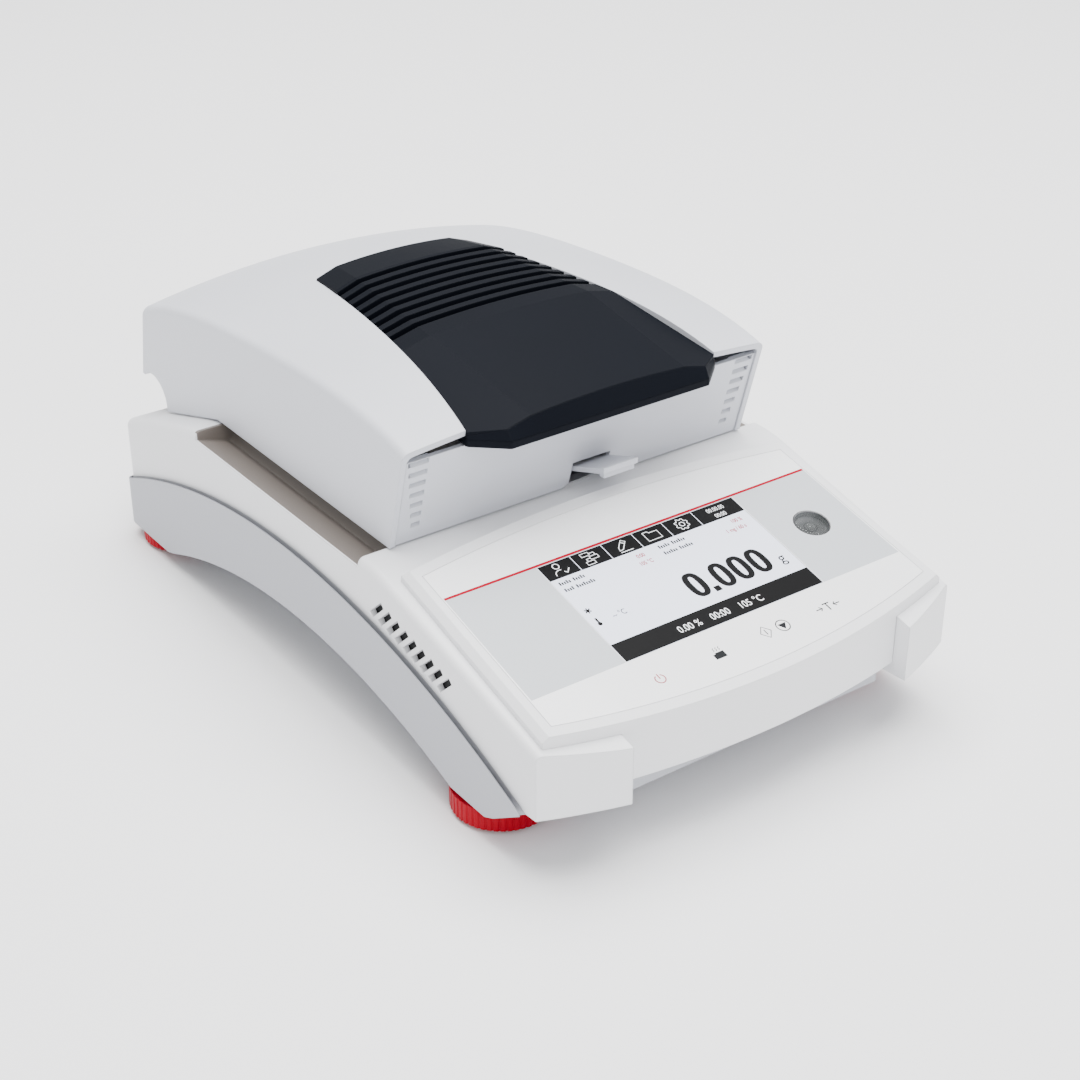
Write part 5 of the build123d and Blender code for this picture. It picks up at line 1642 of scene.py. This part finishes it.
@dataclass
class CoverFascia:
    """Sloping front of the vent cover, from its crowned edge down to its lip."""

    paint: Paintbox
    facet: Point2 = (38.0, 136.3)
    edge: Point2 = (62.5, 130.3)
    crown: float = 1.6
    rear_rise: float = 0.02
    front_y: float = -67.0
    lip_y: float = -69.95
    lip_z: float = 129.2
    corner_x: float = 49.2
    lip_corner_x: float = 48.95
    end_x: float = 61.8
    end_y: float = -57.6
    lip_end_y: float = -58.6
    cover_gap: float = 0.05
    wall: float = 1.2
    wall_narrowing: float = 0.985
    foot_drop: float = 0.3
    top_drop: float = 1.0
    steps: int = 24

    def _top(self, x: float, y: float) -> float:
        """Height of the cover's upper face at a point of its front edge.

        Args:
            x: Distance to the right of the middle.
            y: Distance to the rear.

        Returns:
            Height over the table.
        """
        facet_x, facet_z = self.facet
        rise = self.rear_rise * (y - self.front_y)
        if abs(x) > facet_x:
            fall = (facet_z - self.edge[1]) / (self.edge[0] - facet_x)
            return facet_z - fall * (abs(x) - facet_x) + rise
        return facet_z + self.crown * (1.0 - (x / facet_x) ** 2) + rise

    def _stations(self) -> list[tuple[float, float, float, float]]:
        """Stations along the front edge, from left to right.

        Returns:
            For each station, x and y of its top and x and y of its foot.
        """
        stations = [(-self.end_x, self.end_y, -self.end_x, self.lip_end_y)]
        for index in range(self.steps + 1):
            share = 2.0 * index / self.steps - 1.0
            stations.append((share * self.corner_x, self.front_y, share * self.lip_corner_x, self.lip_y))
        stations.append((self.end_x, self.end_y, self.end_x, self.lip_end_y))
        return stations

    def build(self) -> None:
        """Build the fascia as one closed strip."""
        sections = []
        for x, y, foot_x, foot_y in self._stations():
            top = self._top(x, y)
            inner_x, inner_y = x * self.wall_narrowing, y + self.wall
            sections.append(
                (
                    (x, y - self.cover_gap, top - self.cover_gap),
                    (foot_x, foot_y, self.lip_z),
                    (inner_x, inner_y, self.lip_z - self.foot_drop),
                    (inner_x, inner_y, top - self.top_drop),
                )
            )
        piece = lofted("cover_fascia", sections, 25.0)
        self.paint.dress(piece, "cover")
        attach(piece, Body.LID, "cover_dark")


@dataclass
class LampFilament:
    """Wire coil that runs round inside the ring lamp."""

    paint: Paintbox
    ring: float = 37.0
    centre_y: float = 25.0
    height: float = 112.0
    coil: float = 1.6
    turns: int = 70
    wire: float = 0.22
    steps: int = 840

    def build(self) -> None:
        """Build the coil as one closed wire."""
        curve = bpy.data.curves.new("filament", "CURVE")
        curve.dimensions = "3D"
        curve.bevel_depth = self.wire * MM
        curve.bevel_resolution = 0
        spline = curve.splines.new("POLY")
        spline.points.add(self.steps - 1)
        for index, target in enumerate(spline.points):
            way = math.tau * index / self.steps
            turn = way * self.turns
            reach = self.ring + self.coil * math.cos(turn)
            target.co = (
                reach * math.cos(way) * MM,
                (self.centre_y + reach * math.sin(way)) * MM,
                (self.height + self.coil * math.sin(turn)) * MM,
                1.0,
            )
        spline.use_cyclic_u = True
        carrier = bpy.data.objects.new("carrier", curve)
        mesh = bpy.data.meshes.new_from_object(carrier)
        bpy.data.objects.remove(carrier)
        piece = link_mesh("lamp_filament", mesh)
        self.paint.dress(piece, "filament")
        attach(piece, Body.LID, "clip")


FEET = ("front_left", "front_right", "rear_left", "rear_right")
NODES_BY_FINISH: dict[str, tuple[str, ...]] = {
    "housing": ("upper_housing", "display_housing"),
    "band": ("bottom_housing",),
    "hood": ("hood_shell", "hood_front_panel", "pan_handler"),
    "cover": ("vent_cover",),
    "film": ("control_film",),
    "dark": ("level_holder", "key_switches"),
    "key": ("key_power", "key_heater", "key_start", "key_tare"),
    "board": ("display_board", "main_board"),
    "socket": ("power_inlet",),
    "alloy": ("load_cell_plate", "load_cell", "pan_support"),
    "tray": ("chamber_tray", "draft_shield", "glass_retainer"),
    "foil": ("sample_pan",),
    "steel": ("heater_housing", "hinge_arms"),
    "mirror": ("reflector",),
    "lamp": ("halogen_lamp",),
    "glass": ("protective_glass",),
    "zinc": (
        "power_supply",
        "serial_port",
        "usb_port",
        "lamp_clips",
        "temperature_sensor",
        "hinge_brackets",
        "hinge_pins",
        "housing_screws",
        "lid_screws",
    ),
    "pad": tuple(f"foot_pad_{corner}" for corner in FEET),
    "red": tuple(f"foot_wheel_{corner}" for corner in FEET),
}


@dataclass
class FrameFinishes:
    """Finish of every CAD node that stays in view."""

    paint: Paintbox
    screen_middle: Point2 = (1.0, 44.8)
    screen_colour: Colour = (0.80, 0.84, 0.97)
    screen_reach: float = 0.055
    screen_glow: float = 0.25

    def apply(self, nodes: dict[str, bpy.types.Object]) -> None:
        """Dress the nodes.

        Args:
            nodes: CAD objects by name.
        """
        centre = tuple(PANEL.place(*self.screen_middle))
        field = LitScreen("lcd_field", self.screen_colour, centre, self.screen_reach, self.screen_glow)
        self._dress(nodes["lcd_module"], field.make())
        for finish, names in NODES_BY_FINISH.items():
            for name in names:
                self._dress(nodes[name], self.paint.get(finish))
                LOG.info("node %s dressed as %s", name, finish)

    @staticmethod
    def _dress(piece: bpy.types.Object, material: bpy.types.Material) -> None:
        """Put one material in every slot of a CAD object."""
        if not piece.material_slots:
            piece.data.materials.append(material)
        for slot in piece.material_slots:
            slot.material = material


@dataclass(frozen=True)
class Lamp:
    """One soft area light aimed at a point."""

    name: str
    place: Point3
    target: Point3
    size: float
    power: float

    def add(self) -> None:
        """Add the light to the scene."""
        light = bpy.data.lights.new(self.name, "AREA")
        light.shape = "SQUARE"
        light.size = self.size
        light.energy = self.power
        carrier = bpy.data.objects.new(self.name, light)
        bpy.context.scene.collection.objects.link(carrier)
        carrier.location = self.place
        aim = Vector(self.target) - Vector(self.place)
        carrier.rotation_euler = aim.to_track_quat("-Z", "Y").to_euler()


@dataclass
class Studio:
    """Floor, soft light and the camera of the photograph."""

    camera_place: Point3 = (-0.4395, -0.6268, 0.4704)
    yaw: float = 35.94
    pitch: float = 29.45
    lens: float = 66.557
    sensor: float = 36.0
    clip: Point2 = (0.01, 50.0)
    floor_half: float = 6.0
    floor_colour: Colour = (0.93, 0.93, 0.94)
    floor_roughness: float = 0.9
    sky: float = 0.80
    lamps: tuple[Lamp, ...] = (
        Lamp("top_light", (0.2, 0.1, 2.2), (0.0, 0.0, 0.05), 2.4, 150.0),
        Lamp("front_light", (-0.5, -1.6, 1.2), (0.0, 0.0, 0.05), 1.4, 16.0),
    )

    def build(self) -> None:
        """Build the floor, the light and the camera."""
        self._floor()
        self._sky()
        for lamp in self.lamps:
            lamp.add()
        self._camera()

    def _floor(self) -> None:
        """Plain pale floor."""
        shape = bmesh.new()
        half = self.floor_half
        corners = ((-half, -half), (half, -half), (half, half), (-half, half))
        shape.faces.new([shape.verts.new((x, y, 0.0)) for x, y in corners])
        floor = mesh_from("floor", shape)
        look = {"Base Color": shade(self.floor_colour, 1.0), "Roughness": self.floor_roughness}
        floor.data.materials.append(ShaderTree("floor_white").surface(look))

    def _sky(self) -> None:
        """Even white surroundings."""
        world = bpy.data.worlds.new("studio")
        bpy.context.scene.world = world
        world.use_nodes = True
        background = world.node_tree.nodes["Background"]
        background.inputs["Color"].default_value = (1.0, 1.0, 1.0, 1.0)
        background.inputs["Strength"].default_value = self.sky

    def _camera(self) -> None:
        """Camera at the photograph's viewing angle."""
        lens = bpy.data.cameras.new("camera")
        lens.sensor_width = self.sensor
        lens.sensor_height = self.sensor
        lens.lens = self.lens
        lens.clip_start, lens.clip_end = self.clip
        camera = bpy.data.objects.new("camera", lens)
        bpy.context.scene.collection.objects.link(camera)
        yaw, pitch = math.radians(self.yaw), math.radians(self.pitch)
        aim = Vector((math.sin(yaw) * math.cos(pitch), math.cos(yaw) * math.cos(pitch), -math.sin(pitch)))
        camera.location = self.camera_place
        camera.rotation_euler = aim.to_track_quat("-Z", "Y").to_euler()
        bpy.context.scene.camera = camera


def main() -> None:
    """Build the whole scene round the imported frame."""
    logging.basicConfig(level=logging.INFO, format="%(name)s %(message)s")
    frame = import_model()
    Studio().build()
    paint = Paintbox()
    FrameFinishes(paint).apply(frame["nodes"])
    rows = RowTree()
    DisplayScreen(paint).build()
    FilmPrint(paint).build()
    SpiritLevel(paint).build()
    HoodLouvres(paint, rows).build()
    SideVentShade(paint).build()
    SideBand(paint).build()
    TrimmedHousing(paint).build(frame["nodes"]["bottom_housing"])
    CoverFascia(paint).build()
    LampFilament(paint).build()


if __name__ == "__main__":
    main()
